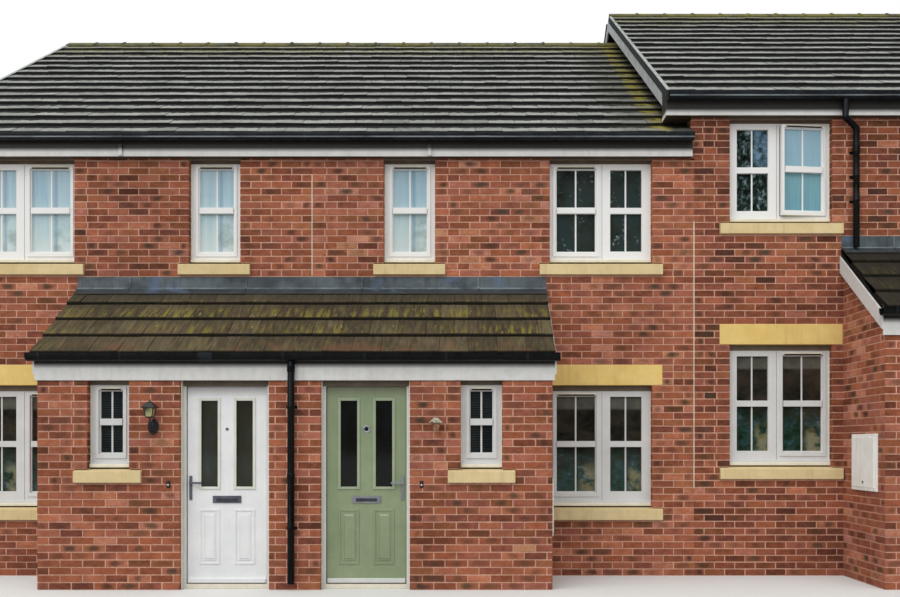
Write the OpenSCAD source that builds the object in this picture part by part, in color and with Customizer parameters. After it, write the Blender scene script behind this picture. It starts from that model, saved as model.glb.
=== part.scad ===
// Terraced row of four brick houses in two stepped pairs.
// Each pair shares a porch under a lean-to tiled roof.
// Front faces -Y and +Z is up. The origin is on the underside of the wall
// where the row steps up, midway along it and midway through it.

/* [Row] */
// Width of each house of the left pair, between party lines
left_w = 4180; // [4150:10:4500]
// Width of each house of the right pair, between party lines
right_w = 4240; // [4150:10:4500]
// Depth of the houses from front face to rear face
house_d = 8200; // [7000:50:9000]
// Rise of the right-hand pair above the left-hand pair
step_up = 450; // [375:25:600]
// Height of one brick course with its joint
course_h = 75; // [72:1:78]

/* [Walls] */
// Thickness of the front and rear walls
wall_t = 300; // [260:5:340]
// Thickness of the end, step and party walls
party_t = 275; // [215:5:300]
// Courses from the ground to the underside of the upper storey
storey_courses = 31; // [30:1:34]
// Height of the eaves soffit above the ground
soffit_z = 4600; // [4500:10:4800]
// Height of the wall above the soffit, up to the wall plate
plate_h = 140; // [100:5:180]
// Thickness of the first floors
floor_t = 250; // [200:10:300]
// Thickness of the ground-floor slabs
slab_t = 150; // [100:10:200]
// Height of the ground floors above the ground outside
floor_rise = 40; // [25:1:45]

/* [Windows] */
// Width of the brick opening of a wide window
wide_w = 1135; // [1000:5:1250]
// Width of the brick opening of a narrow window
narrow_w = 572; // [480:4:640]
// Distance of the wide windows from the outer side of their house
wide_off = 993; // [970:1:1010]
// Distance of the narrow windows from the pair's party line
narrow_cx = 1075; // [900:5:1200]
// Courses up to the top of the ground-floor sills
ground_sill_courses = 10; // [9:1:12]
// Courses up to the underside of the ground-floor lintels
ground_head_courses = 28; // [27:1:28]
// Courses up to the top of the upper sills
upper_sill_courses = 46; // [44:1:48]
// Set-back of the window frames behind the brick face
window_set = 80; // [60:1:100]
// Depth of the window frames from front to back
frame_d = 70; // [60:1:80]
// Face width of the jambs and feet of the window frames
frame_face = 46; // [40:1:70]
// Extra face width of the jambs of the narrow windows
narrow_side = 12; // [5:1:20]
// Face width of the mullions
mullion_face = 68; // [50:1:80]
// Height of the window frame heads that shows below the head boards
head_face = 18; // [15:1:60]
// Face width of the stiles and heads of the opening sashes
sash_face = 42; // [30:1:50]
// Face width of the stiles of the fixed lights
fixed_face = 58; // [40:1:65]
// Height of the foot rails of sashes and fixed lights
foot_face = 58; // [40:1:70]
// How far the sashes stand proud of the frame
sash_proud = 12; // [8:1:16]
// Width of the set-back bead inside a sash
bead_w = 14; // [8:1:20]
// Height of the rail across the middle of each light
rail_h = 66; // [40:1:70]
// Shift of the mullion towards the fixed light
mullion_shift = 23; // [0:1:30]
// Height of the white cill under the upper frames
cill_h = 38; // [30:1:45]
// Height of the white cill under the porch frames
porch_cill_h = 61; // [50:1:70]
// Height of the white cill under the ground-floor frames
ground_cill_h = 72; // [50:1:80]
// Gap under the nose of the white cill
cill_gap = 16; // [10:1:20]
// How far the white cill stands proud of the frame
cill_proud = 28; // [15:1:40]
// Height of the board above the upper frames
head_board_h = 42; // [30:1:60]
// Height of the board above the lower frames
ground_board_h = 62; // [40:1:70]
// How far the head boards stand proud of the frame
board_proud = 6; // [4:1:20]
// Angle at which the right-hand front house leaves a sash open
ajar = 6; // [3:1:10]
// Play above and below the open sash
sash_play = 3; // [2:1:5]
// Depth of the open sash's hinge edge in the frame
hinge_in = 3; // [2:1:5]
// Thickness of the sealed glass units
glass_t = 24; // [20:1:28]
// Gap between the sealed units and the sides of their lights
glass_in = 8; // [6:1:12]

/* [Stone] */
// Lap of sills and lintels past each side of an opening
stone_lap = 110; // [90:5:150]
// Lap of the porch sills past each side of a window
porch_lap = 125; // [80:5:140]
// Depth that sills and lintels reach into the wall
stone_in = 110; // [100:1:125]
// How far the sills stand out from the wall
sill_out = 45; // [30:1:60]
// How far the lintels stand out from the wall
lintel_out = 8; // [4:1:12]
// Courses of height of a sill
sill_courses = 2; // [1:1:2]
// Fall of the sloping top of a sill
sill_fall = 20; // [8:1:25]
// Mortar bed under the sills
sill_bed = 15; // [8:1:20]

/* [Roof] */
// Pitch of the main roofs
roof_pitch = 33.5; // [30:0.5:38]
// Number of tile courses on one main slope
tile_courses = 15; // [12:1:18]
// Tiles past the wall face at the eaves
eaves_over = 130; // [110:5:150]
// Roof past the end walls at the verges
verge_over = 270; // [250:5:400]
// Upright thickness of rafters and battens under the tiles
deck_h = 165; // [140:5:200]
// Thickness of a tile at its foot
tile_t = 36; // [22:1:40]
// Thickness of a tile where the next course laps it
tile_tail = 6; // [5:1:12]
// Front of the fascia past the wall face
fascia_out = 80; // [60:1:95]
// Thickness of fascias, soffits and bargeboards
board_t = 18; // [12:1:22]
// Upright depth of the bargeboards
barge_h = 150; // [120:5:200]
// Upright depth of the verge caps under the tile bed
verge_cap_h = 65; // [50:5:130]
// Gap between the roof and the walls and boards fitted under it
roof_gap = 0.3; // [0.2:0.1:1]
// Thickness of the verge caps
verge_cap_t = 25; // [18:1:35]
// Lap of the verge caps over the tiles
verge_lap = 20; // [15:1:60]
// Depth of the boxed ends of the eaves
box_end_d = 225; // [180:5:260]
// Length of one ridge tile
ridge_tile_l = 450; // [300:10:460]
// Half width of the ridge tiles, level
ridge_half_w = 130; // [100:5:160]

/* [Porches] */
// Distance from the pair's party line to the outer face of a porch
porch_half_w = 2555; // [2500:5:2600]
// How far the porches stand out from the houses
porch_out = 1012; // [850:2:1200]
// Pitch of the porch roofs
porch_pitch = 36; // [33:0.5:38]
// Upright thickness of rafters and battens of the porch roofs
porch_deck_h = 120; // [100:5:140]
// Number of tile courses on a porch roof
porch_courses = 4; // [3:1:6]
// Height of the tile bed at the foot of the porch roofs
porch_bed_z = 2321; // [2310:1:2340]
// Tiles past the brick face at the foot of the porch roofs
porch_over = 115; // [100:5:130]
// Roof past the porch side walls
porch_verge = 27; // [20:1:60]
// Drop of the porch bargeboards below the tile bed
porch_barge_drop = 70; // [40:5:80]
// Upright depth of the porch bargeboards
porch_barge_h = 180; // [150:5:220]
// Front of the porch fascia past the brick face
porch_fascia_out = 20; // [19:1:24]
// Drop of the porch fascia below the door heads
porch_fascia_drop = 20; // [10:1:30]
// Width of the brick opening of a porch window
porch_win_w = 420; // [390:5:500]
// Distance of the porch windows from the outer side of their porch
porch_win_off = 701; // [650:1:750]
// Courses up to the top of the porch sills
porch_sill_courses = 16; // [14:1:17]
// Width of the lead aprons down the porch roofs
lead_w = 120; // [100:5:180]
// Gap between the top of the lead upstands and the upper sills
lead_gap = 20; // [5:1:30]
// Thickness of the lead flashings with their bedding
lead_t = 6; // [4:1:8]

/* [Doors] */
// Width of a door frame
door_w = 890; // [850:5:900]
// Distance of the front doors from the pair's party line
door_cx = 700; // [690:1:740]
// Distance of the rear doors from the pair's party line
rear_door_cx = 1075; // [900:5:1200]
// Set-back of the door frames behind the brick face
door_set = 80; // [70:1:100]
// Face width of the door frames
jamb_w = 42; // [35:1:50]
// Height of the thresholds
threshold_h = 46; // [46:1:60]
// Thickness of the door leaves
leaf_t = 44; // [40:1:48]
// Gap between a leaf and its frame
leaf_gap = 7; // [7:0.5:9]
// Width of the two tall glass lights of a front door
light_w = 172; // [140:1:190]
// Height of the two tall glass lights
light_h = 870; // [800:5:920]
// Distance of the lights and panels from the middle of the leaf
light_cx = 176; // [170:1:190]
// Height of the foot of the lights above the foot of the leaf
light_z = 965; // [940:5:1000]
// Height of the raised lower panels
panel_h = 520; // [450:5:560]
// Height of the foot of the panels above the foot of the leaf
panel_z = 205; // [150:5:240]
// Depth of the mouldings on the leaf
mould_d = 7; // [4:0.5:10]
// Radius of the hinge knuckles
knuckle_r = 8; // [6:0.5:9]
// Height of one hinge knuckle
knuckle_h = 45; // [30:1:60]
// Height of the letter plates above the foot of the leaf
letter_z = 805; // [780:5:840]

/* [Rainwater] */
// Radius of the gutters
gutter_r = 56; // [50:1:60]
// Wall thickness of gutters and pipes
gutter_t = 3; // [2:0.5:4]
// Straight upstand of the gutters above their round
gutter_lip = 22; // [10:1:30]
// Rise of the main gutters' rims above the foot of the tile bed
gutter_rise = 15; // [0:1:25]
// Rise of the porch gutters' rims above the foot of the tile bed
porch_gutter_rise = 24; // [10:1:30]
// Radius of the downpipes
pipe_r = 34; // [30:1:38]
// Clear space between a downpipe and the wall
pipe_off = 26; // [26:1:34]
// Offset of the porch downpipes from the party line
porch_pipe_x = -28; // [-60:1:60]
// Distance of the upper downpipe from its pair's party line
upper_pipe_x = -2440; // [-2500:5:-2300]
// Offset of the gutter outlet from the upper downpipe
outlet_x = -150; // [-200:5:-80]
// Height of the lower clips of the porch downpipes
low_clip_z = 600; // [400:10:800]
// Height of the upper clips of the porch downpipes
high_clip_z = 1800; // [1600:10:1900]
// Spacing of the clips of the upper downpipe
clip_step = 270; // [200:10:500]

/* [Fittings] */
// Distance of the lanterns from the pair's party line
lantern_cx = 1405; // [1330:1:1450]
// Height of the foot of the lanterns
lantern_z = 1549; // [1400:1:1700]
// Height of the lanterns
lantern_h = 338; // [250:2:360]
// Side of the square meter boxes
meter_side = 590; // [450:5:600]
// Height of the foot of the meter boxes above the ground
meter_z = 515; // [300:5:600]
// Depth of the meter boxes
meter_d = 28; // [20:1:80]
// Distance of the meter boxes from the house wall
meter_y = 270; // [120:5:300]

/* [Hidden] */

// Left face of the step wall, which is the party line between the pairs
step_x = -party_t / 2;
left_end = step_x - 2 * left_w;
right_end = step_x + 2 * right_w;
front_y = -house_d / 2;
porch_y = front_y - porch_out;
storey_z = storey_courses * course_h;
plate_z = soffit_z + plate_h;
ground_sill_z = ground_sill_courses * course_h;
ground_head_z = ground_head_courses * course_h;
upper_sill_z = upper_sill_courses * course_h;
porch_sill_z = porch_sill_courses * course_h;
porch_win_cx = porch_half_w - porch_win_off;
sill_h = sill_courses * course_h - sill_bed;
lintel_h = storey_z - ground_head_z;
eps = 1;
facets = 48;

// Each pair: middle, ground height, reach of its walls to the left and the
// right, and the width of one house
pairs = [
    [step_x - left_w, 0, left_w - party_t, left_w, left_w],
    [step_x + right_w, step_up, right_w - party_t, right_w - party_t, right_w]
];
// Each house: middle of its pair, side, ground height, reach of its walls, width
houses = [
    for (p = pairs)
        each [[p[0], -1, p[1], p[2], p[4]], [p[0], 1, p[1], p[3], p[4]]]
];

// Heights of the main roof, at a distance y behind the front face
function deck_top(y) = plate_z + deck_h + y * tan(roof_pitch);
function deck_under(y) = plate_z + y * tan(roof_pitch);
// Heights of the porch roof, at a distance y behind the porch face
function porch_top(y) = porch_bed_z + (y + porch_over) * tan(porch_pitch);
function porch_under(y) = porch_top(y) - porch_deck_h;
porch_plate_z = porch_under(0);

// Openings of a house of width w, each as middle, width, foot, head, and the
// laps of its stone towards the pair's party line and away from it
function upper_holes(w) = [
    [w - wide_off, wide_w, upper_sill_z, soffit_z, stone_lap, stone_lap],
    [narrow_cx, narrow_w, upper_sill_z, soffit_z, stone_lap, stone_lap]
];
function ground_hole(w, inner_lap) =
    [w - wide_off, wide_w, ground_sill_z, ground_head_z, inner_lap, stone_lap];
// On the front the inner lap ends at the side wall of the porch
function front_lap(w) = min(stone_lap, w - wide_off - wide_w / 2 - porch_half_w);
porch_hole = [porch_win_cx, porch_win_w, porch_sill_z, ground_head_z, porch_lap, porch_lap];
rear_door_hole = [rear_door_cx, door_w, 0, ground_head_z, stone_lap, stone_lap];

// Puts children, drawn for the right-hand house of a pair, at house h
module at_house(h) {
    translate([h[0], 0, h[2]])
        mirror([h[1] < 0 ? 1 : 0, 0, 0])
            children();
}

// Puts children, drawn behind y = 0, at the front or the rear face
module at_front() {
    translate([0, front_y, 0])
        children();
}

module at_rear() {
    mirror([0, 1, 0])
        at_front()
            children();
}

// Extrudes an outline drawn in Y and Z along X, from x0 to x1
module along_x(x0, x1) {
    translate([x0, 0, 0])
        rotate([90, 0, 90])
            linear_extrude(height = x1 - x0)
                children();
}

// Brick opening through a wall whose face is at y = 0
module hole_cut(h) {
    translate([h[0] - h[1] / 2, -eps, h[2]])
        cube([h[1], wall_t + 2 * eps, h[3] - h[2]]);
}

// Recesses for the stone sill under, and the lintel over, an opening
module sill_cut(h) {
    translate([h[0] - h[1] / 2 - h[4], -eps, h[2] - sill_h])
        cube([h[1] + h[4] + h[5], stone_in + eps, sill_h]);
}

module lintel_cut(h) {
    translate([h[0] - h[1] / 2 - h[4], -eps, h[3]])
        cube([h[1] + h[4] + h[5], stone_in + eps, lintel_h + eps]);
}

// Plain wall slab with its face at y = 0
module slab(x0, x1, z0, z1) {
    translate([x0, 0, z0])
        cube([x1 - x0, wall_t, z1 - z0]);
}

// Floors

// Slab across the rooms of house h, with its top at z
module room_slab(h, z, t) {
    translate([party_t / 2, front_y + wall_t, z - t])
        cube([h[3] - party_t / 2, house_d - 2 * wall_t, t]);
}

module ground_floors() {
    color("lightgray")
        for (h = houses)
            at_house(h)
                room_slab(h, floor_rise, min(slab_t, floor_rise + h[2]));
}

// Floors of the porches, each with a strip that runs into its doorway
module porch_floors() {
    color("lightgray")
        for (h = houses)
            at_house(h) {
                t = min(slab_t, floor_rise + h[2]);
                translate([party_t / 2, porch_y + wall_t, floor_rise - t])
                    cube([porch_half_w - wall_t - party_t / 2, porch_out, t]);
                translate([door_cx - door_w / 2, porch_y + door_back, 0])
                    cube([door_w, wall_t - door_back + eps, floor_rise]);
            }
}

module first_floors() {
    color("tan")
        for (h = houses)
            at_house(h)
                room_slab(h, storey_z + floor_t, floor_t);
}

// Main walls

module front_lower_walls() {
    color("indianred")
        for (h = houses)
            at_house(h)
                at_front()
                    difference() {
                        hole = ground_hole(h[4], front_lap(h[4]));
                        slab(porch_half_w - wall_t, h[3], -h[2], storey_z);
                        hole_cut(hole);
                        sill_cut(hole);
                        lintel_cut(hole);
                    }
}

module upper_wall(p) {
    translate([p[0], 0, p[1]])
        at_front()
            difference() {
                slab(-p[2], p[3], storey_z, plate_z);
                for (side = [0, 1], h = upper_holes(p[4]))
                    mirror([side, 0, 0]) {
                        hole_cut(h);
                        sill_cut(h);
                    }
            }
}

module front_upper_wall_left() {
    color("indianred")
        upper_wall(pairs[0]);
}

module front_upper_wall_right() {
    color("indianred")
        upper_wall(pairs[1]);
}

module rear_wall(p) {
    hole = ground_hole(p[4], stone_lap);
    translate([p[0], 0, p[1]])
        at_rear()
            difference() {
                slab(-p[2], p[3], -p[1], plate_z);
                for (side = [0, 1])
                    mirror([side, 0, 0]) {
                        for (h = upper_holes(p[4])) {
                            hole_cut(h);
                            sill_cut(h);
                        }
                        hole_cut(hole);
                        sill_cut(hole);
                        lintel_cut(hole);
                        hole_cut(rear_door_hole);
                        lintel_cut(rear_door_hole);
                    }
            }
}

module rear_wall_left() {
    color("indianred")
        rear_wall(pairs[0]);
}

module rear_wall_right() {
    color("indianred")
        rear_wall(pairs[1]);
}

// Cross wall up to the roof, starting set_in behind the front face
module cross_wall(x0, ground, set_in) {
    along_x(x0, x0 + party_t)
        polygon([
            [front_y + set_in, 0],
            [front_y + set_in, ground + deck_under(set_in) - roof_gap],
            [0, ground + deck_under(-front_y) - roof_gap],
            [-front_y - set_in, ground + deck_under(set_in) - roof_gap],
            [-front_y - set_in, 0]
        ]);
}

module end_wall_left() {
    color("indianred")
        cross_wall(left_end, 0, 0);
}

module end_wall_right() {
    color("indianred")
        cross_wall(right_end - party_t, step_up, 0);
}

module step_wall() {
    color("indianred")
        cross_wall(step_x, step_up, 0);
}

module party_walls() {
    color("silver")
        for (p = pairs)
            cross_wall(p[0] - party_t / 2, p[1], wall_t);
}

// Porches

module porch_front_walls() {
    door_in = door_cx - door_w / 2;
    door_out = door_cx + door_w / 2;
    color("indianred")
        for (p = pairs)
            translate([p[0], porch_y, p[1]]) {
                slab(-door_in, door_in, -p[1], ground_head_z);
                if (p[1] > 0)
                    slab(-door_out - eps, door_out + eps, -p[1], 0);
                for (side = [0, 1])
                    mirror([side, 0, 0])
                        difference() {
                            slab(door_out, porch_half_w - wall_t, -p[1], ground_head_z);
                            hole_cut(porch_hole);
                            sill_cut(porch_hole);
                        }
            }
}

module porch_beams() {
    color("saddlebrown")
        for (p = pairs)
            translate([p[0], porch_y, p[1]])
                slab(wall_t - porch_half_w, porch_half_w - wall_t, ground_head_z, porch_plate_z);
}

module porch_side_walls() {
    color("indianred")
        for (h = houses)
            at_house(h)
                along_x(porch_half_w - wall_t, porch_half_w)
                    polygon([
                        [porch_y, -h[2]],
                        [porch_y, porch_plate_z],
                        [front_y, porch_under(porch_out)],
                        [front_y, -h[2]]
                    ]);
}

module porch_party_walls() {
    color("silver")
        for (p = pairs)
            translate([p[0] - party_t / 2, porch_y + wall_t, 0])
                cube([party_t, porch_out, p[1] + porch_plate_z]);
}

// Roofs

// Outline of a tiled slope: eaves at y = -over, top at y = run
module slope_outline(run, over, pitch, courses, bed_z, deck, deck_from) {
    step = (run + over) / courses;
    rise = step * tan(pitch);
    polygon([
        [-over, bed_z],
        for (i = [0 : courses - 1])
            each [
                [-over + i * step, bed_z + i * rise + tile_t],
                [-over + (i + 1) * step, bed_z + (i + 1) * rise + tile_tail]
            ],
        [run, bed_z + courses * rise - deck],
        [deck_from, bed_z + (deck_from + over) * tan(pitch) - deck],
        [deck_from, bed_z + (deck_from + over) * tan(pitch)]
    ]);
}

module main_slope(x0, x1, ground) {
    translate([0, front_y, ground])
        along_x(x0, x1)
            slope_outline(-front_y, eaves_over, roof_pitch, tile_courses,
                          deck_top(-eaves_over), deck_h, 0);
}

module left_slope() {
    color("dimgray")
        main_slope(left_end - verge_over, step_x, 0);
}

module right_slope() {
    color("dimgray")
        main_slope(step_x - verge_over, right_end + verge_over, step_up);
}

module roof_front_left() {
    left_slope();
}

module roof_rear_left() {
    mirror([0, 1, 0])
        left_slope();
}

module roof_front_right() {
    right_slope();
}

module roof_rear_right() {
    mirror([0, 1, 0])
        right_slope();
}

// Ridge outline: two flanks of thickness t, lifted clear of the slopes under it
module ridge_outline(half_w, lift, t) {
    top = deck_top(-front_y) + tile_t + lift;
    drop = half_w * tan(roof_pitch);
    polygon([
        [-half_w, top - drop],
        [0, top],
        [half_w, top - drop],
        [half_w, top - drop + t],
        [0, top + t],
        [-half_w, top - drop + t]
    ]);
}

// Row of ridge tiles on a bed of mortar that fills the joints
module ridge_run(x0, x1) {
    joint = 8;
    tile_flank = 20;
    mortar = 12;
    count = ceil((x1 - x0) / ridge_tile_l);
    pitch_x = (x1 - x0) / count;
    along_x(x0 + joint, x1 - joint)
        ridge_outline(ridge_half_w - joint, eps, mortar);
    for (i = [0 : count - 1])
        along_x(x0 + i * pitch_x, x0 + (i + 1) * pitch_x - joint)
            ridge_outline(ridge_half_w, 0, tile_flank);
}

module ridge_tiles() {
    color("dimgray") {
        ridge_run(left_end - verge_over, step_x);
        translate([0, 0, step_up])
            ridge_run(step_x - verge_over, right_end + verge_over);
    }
}

module porch_roofs() {
    color("sienna")
        for (p = pairs)
            translate([p[0], porch_y, p[1]])
                along_x(-porch_half_w - porch_verge, porch_half_w + porch_verge)
                    slope_outline(porch_out, porch_over, porch_pitch, porch_courses,
                                  porch_bed_z, porch_deck_h, 0);
}

// Lead apron on the top course, turned up the house wall to under the sills
module porch_flashings() {
    slope = tan(porch_pitch);
    lead_top = upper_sill_z - sill_h - lead_gap;
    foot = porch_top(porch_out - lead_w) + tile_t;
    top = porch_top(porch_out) + tile_t;
    color("slategray")
        for (p = pairs)
            translate([p[0], porch_y, p[1]])
                along_x(-porch_half_w - porch_verge, porch_half_w + porch_verge)
                    polygon([
                        [porch_out - lead_w, foot],
                        [porch_out, top],
                        [porch_out, lead_top],
                        [porch_out - lead_t, lead_top],
                        [porch_out - lead_t, top + lead_t * (1 - slope)],
                        [porch_out - lead_w, foot + lead_t]
                    ]);
}

// Eaves

// Fascia with its soffit from x0 to x1, in front of a wall face at y = 0
module eaves_run(x0, x1) {
    along_x(x0, x1)
        polygon([
            [-fascia_out, soffit_z],
            [0, soffit_z],
            [0, soffit_z + board_t / 2],
            [board_t - fascia_out, soffit_z + board_t / 2],
            [board_t - fascia_out, deck_top(-fascia_out) - roof_gap],
            [-fascia_out, deck_top(-fascia_out) - roof_gap]
        ]);
}

// Boxed end of the eaves under the verge, outwards from x = 0
module box_end() {
    back = box_end_d - fascia_out;
    cap_under = deck_h + plate_h - verge_cap_h - roof_gap;
    along_x(verge_over, verge_over + board_t)
        polygon([
            [-fascia_out, soffit_z],
            [back, soffit_z],
            [back, soffit_z + cap_under + back * tan(roof_pitch)],
            [-fascia_out, soffit_z + cap_under - fascia_out * tan(roof_pitch)]
        ]);
    translate([0, 0, soffit_z])
        cube([verge_over, back, board_t / 2]);
    eaves_run(-eps, verge_over);
}

module eaves_boards() {
    color("white")
        for (side = [0, 1])
            mirror([0, side, 0])
                at_front() {
                    eaves_run(left_end, step_x);
                    translate([left_end, 0, 0])
                        mirror([1, 0, 0])
                            box_end();
                    translate([0, 0, step_up])
                        eaves_run(step_x, right_end);
                    translate([step_x, 0, step_up])
                        mirror([1, 0, 0])
                            box_end();
                    translate([right_end, 0, step_up])
                        box_end();
                }
}

module porch_fascias() {
    half = porch_half_w + porch_verge;
    foot = ground_head_z - porch_fascia_drop;
    color("white")
        for (p = pairs)
            translate([p[0] - half, porch_y - porch_fascia_out, p[1] + foot])
                cube([2 * half, porch_fascia_out, porch_top(-porch_fascia_out) - foot]);
}

// Half-round gutter with its rim at z = 0 and its back at y = 0
module gutter_run(x0, x1) {
    along_x(x0, x1)
        translate([-gutter_r, -gutter_lip])
            difference() {
                union() {
                    circle(r = gutter_r, $fn = facets);
                    translate([-gutter_r, 0])
                        square([2 * gutter_r, gutter_lip]);
                }
                circle(r = gutter_r - gutter_t, $fn = facets);
                translate([gutter_t - gutter_r, 0])
                    square([2 * (gutter_r - gutter_t), gutter_r + gutter_lip]);
            }
}

module gutters() {
    rim = deck_top(-eaves_over) + gutter_rise;
    color("black")
        for (side = [0, 1])
            mirror([0, side, 0])
                translate([0, front_y - fascia_out, rim]) {
                    gutter_run(left_end - verge_over, step_x);
                    translate([0, 0, step_up])
                        gutter_run(step_x - verge_over, right_end + verge_over);
                }
}

module porch_gutters() {
    reach = porch_half_w + 2 * porch_verge + board_t;
    color("black")
        for (p = pairs)
            translate([p[0], porch_y - porch_fascia_out, p[1] + porch_bed_z + porch_gutter_rise])
                gutter_run(-reach, reach);
}

// Verges

// Strip along a slope from y0 to y1, its upper edge drop below the tile bed
module verge_strip(y0, y1, bed_z, pitch, drop, h) {
    polygon([
        [y0, bed_z + y0 * tan(pitch) - drop],
        [y1, bed_z + y1 * tan(pitch) - drop],
        [y1, bed_z + y1 * tan(pitch) - drop - h],
        [y0, bed_z + y0 * tan(pitch) - drop - h]
    ]);
}

// Puts children, drawn outwards from x = 0, at each of the three main verges
module at_verges() {
    translate([left_end, front_y, 0])
        mirror([1, 0, 0])
            children();
    translate([step_x, front_y, step_up])
        mirror([1, 0, 0])
            children();
    translate([right_end, front_y, step_up])
        children();
}

module bargeboards_front() {
    color("white")
        at_verges()
            along_x(verge_over, verge_over + board_t)
                verge_strip(box_end_d - fascia_out, -front_y, deck_top(0), roof_pitch,
                            verge_cap_h + roof_gap, barge_h);
}

module bargeboards_rear() {
    mirror([0, 1, 0])
        bargeboards_front();
}

module verge_cap(over, y0, y1, bed_z, pitch) {
    along_x(over, over + verge_cap_t)
        verge_strip(y0, y1, bed_z, pitch, -tile_t, tile_t + verge_cap_h);
    along_x(over - verge_lap, over + verge_cap_t)
        verge_strip(y0, y1, bed_z, pitch, -tile_t - lead_t, lead_t);
}

module verge_caps_front() {
    color("dimgray")
        at_verges()
            verge_cap(verge_over, -eaves_over, -front_y - ridge_half_w, deck_top(0), roof_pitch);
}

module verge_caps_rear() {
    mirror([0, 1, 0])
        verge_caps_front();
}

module porch_bargeboards() {
    over = porch_half_w + porch_verge;
    color("white")
        for (h = houses)
            at_house(h)
                translate([0, porch_y, 0])
                    along_x(over, over + board_t)
                        verge_strip(-porch_fascia_out, porch_out, porch_top(0), porch_pitch,
                                    porch_barge_drop, porch_barge_h);
}

// Downpipes

module pipe_between(a, b) {
    d = b - a;
    l = norm(d);
    translate(a)
        rotate([0, acos(d[2] / l), atan2(d[1], d[0])])
            cylinder(h = l, r = pipe_r, $fn = facets);
}

// Upright pipe with clips back to the wall at the listed heights
module clipped_pipe(z0, z1, clips) {
    clip_h = 30;
    lug_w = 110;
    lug_t = 6;
    arm_w = 30;
    translate([0, -pipe_off - pipe_r, 0]) {
        pipe_between([0, 0, z0], [0, 0, z1]);
        for (z = clips)
            translate([0, 0, z]) {
                cylinder(h = clip_h, r = pipe_r + gutter_t, $fn = facets);
                translate([-arm_w / 2, 0, gutter_t])
                    cube([arm_w, pipe_r + pipe_off - eps, clip_h - 2 * gutter_t]);
                translate([-lug_w / 2, pipe_r + pipe_off - lug_t, 0])
                    cube([lug_w, lug_t, clip_h]);
            }
    }
}

module downpipes() {
    foot = 70;
    rim = deck_top(-eaves_over) + gutter_rise - gutter_lip - gutter_r;
    swan_h = 290;
    bend = rim - 0.68 * swan_h;
    roof_foot = porch_top(porch_out - pipe_off) + tile_t + lead_t + roof_gap;
    out_y = -fascia_out - gutter_r;
    wall_y = -pipe_off - pipe_r;
    color("black") {
        for (p = pairs)
            translate([p[0] + porch_pipe_x, porch_y, p[1]])
                clipped_pipe(foot, porch_bed_z + porch_gutter_rise - gutter_lip - gutter_r,
                             [low_clip_z, high_clip_z]);
        translate([pairs[1][0] + upper_pipe_x, front_y, step_up]) {
            clipped_pipe(roof_foot, rim - swan_h, [for (i = [1 : 3]) rim - swan_h - i * clip_step]);
            pipe_between([0, wall_y, rim - swan_h], [outlet_x, out_y, bend]);
            pipe_between([outlet_x, out_y, bend], [outlet_x, out_y, rim]);
            translate([0, wall_y, rim - swan_h])
                sphere(r = pipe_r + gutter_t, $fn = facets);
            translate([outlet_x, out_y, bend])
                sphere(r = pipe_r + gutter_t, $fn = facets);
        }
    }
}

// Windows

// Lights of a window as left edge, width and whether it is a sash: the sash is
// next to the pair's party line
function lights(w) = w > narrow_w + frame_face
    ? let (half = (w - 2 * frame_face - mullion_face) / 2)
      [[frame_face, half + mullion_shift, true],
       [frame_face + mullion_face + half + mullion_shift, half - mullion_shift, false]]
    : let (side = frame_face + narrow_side)
      [[side, w - 2 * side, true]];

// Frame in an opening of width w and height h, from its lower left corner, with
// a cill of height cill, a head board of height board, and its sash at an angle
module window_frame(w, h, cill, board, angle) {
    foot = cill + frame_face;
    light_h = h - board - head_face - foot;
    play = angle > 0 ? sash_play : 0;
    difference() {
        translate([0, window_set, 0])
            cube([w, frame_d, h]);
        for (l = lights(w))
            translate([l[0], window_set - eps, foot])
                cube([l[1], frame_d + 2 * eps, light_h]);
    }
    translate([0, window_set - cill_proud, cill_gap])
        cube([w, cill_proud + eps, cill - cill_gap]);
    if (board > 0)
        translate([0, window_set - board_proud, h - board])
            cube([w, board_proud + eps, board]);
    for (l = lights(w)) {
        gap = l[2] ? play : 0;
        at_light(l, foot + gap, angle)
            light_frame(l[1], light_h - 2 * gap, l[2]);
    }
}

// Puts children at the lower left corner of light l, a sash turned outwards by
// an angle about its left edge, which stays in the frame
module at_light(l, z, angle) {
    turn = l[2] ? angle : 0;
    translate([l[0] - (turn > 0 ? hinge_in : 0), window_set, z])
        rotate([0, 0, -turn])
            children();
}

// Sash or fixed light of width w and height h, with the rail across its middle
module light_frame(w, h, sash) {
    face = sash ? sash_face - bead_w : fixed_face;
    bead = sash ? bead_w : 0;
    front = sash ? -sash_proud : 0;
    back = frame_d / 2;
    inner_w = w - 2 * (face + bead);
    inner_h = h - sash_face - foot_face;
    difference() {
        translate([0, front, 0])
            cube([w, back - front, h]);
        translate([face, front - eps, foot_face - bead])
            cube([w - 2 * face, sash_proud + eps + bead, inner_h + 2 * bead]);
        translate([face + bead, front - eps, foot_face])
            cube([inner_w, back - front + 2 * eps, inner_h]);
    }
    translate([face + bead - eps, front, foot_face + (inner_h - rail_h) / 2])
        cube([inner_w + 2 * eps, back - front, rail_h]);
}

// Glass unit of each light, behind the rail and beads
module window_glass(w, h, cill, board, angle) {
    foot = cill + frame_face;
    for (l = lights(w))
        at_light(l, foot, angle)
            translate([glass_in, frame_d / 2, glass_in])
                cube([l[1] - 2 * glass_in, glass_t, h - board - head_face - foot - 2 * glass_in]);
}

// Puts children at the lower left corner of hole h
module in_hole(h) {
    translate([h[0] - h[1] / 2, 0, h[2]])
        children();
}

// Frames of the upper windows on one face of a house of width w
module upper_frames(w, angle) {
    for (hole = upper_holes(w))
        in_hole(hole)
            window_frame(hole[1], hole[3] - hole[2], cill_h, head_board_h,
                         hole[1] == wide_w ? angle : 0);
}

module upper_panes(w, angle) {
    for (hole = upper_holes(w))
        in_hole(hole)
            window_glass(hole[1], hole[3] - hole[2], cill_h, head_board_h,
                         hole[1] == wide_w ? angle : 0);
}

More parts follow.
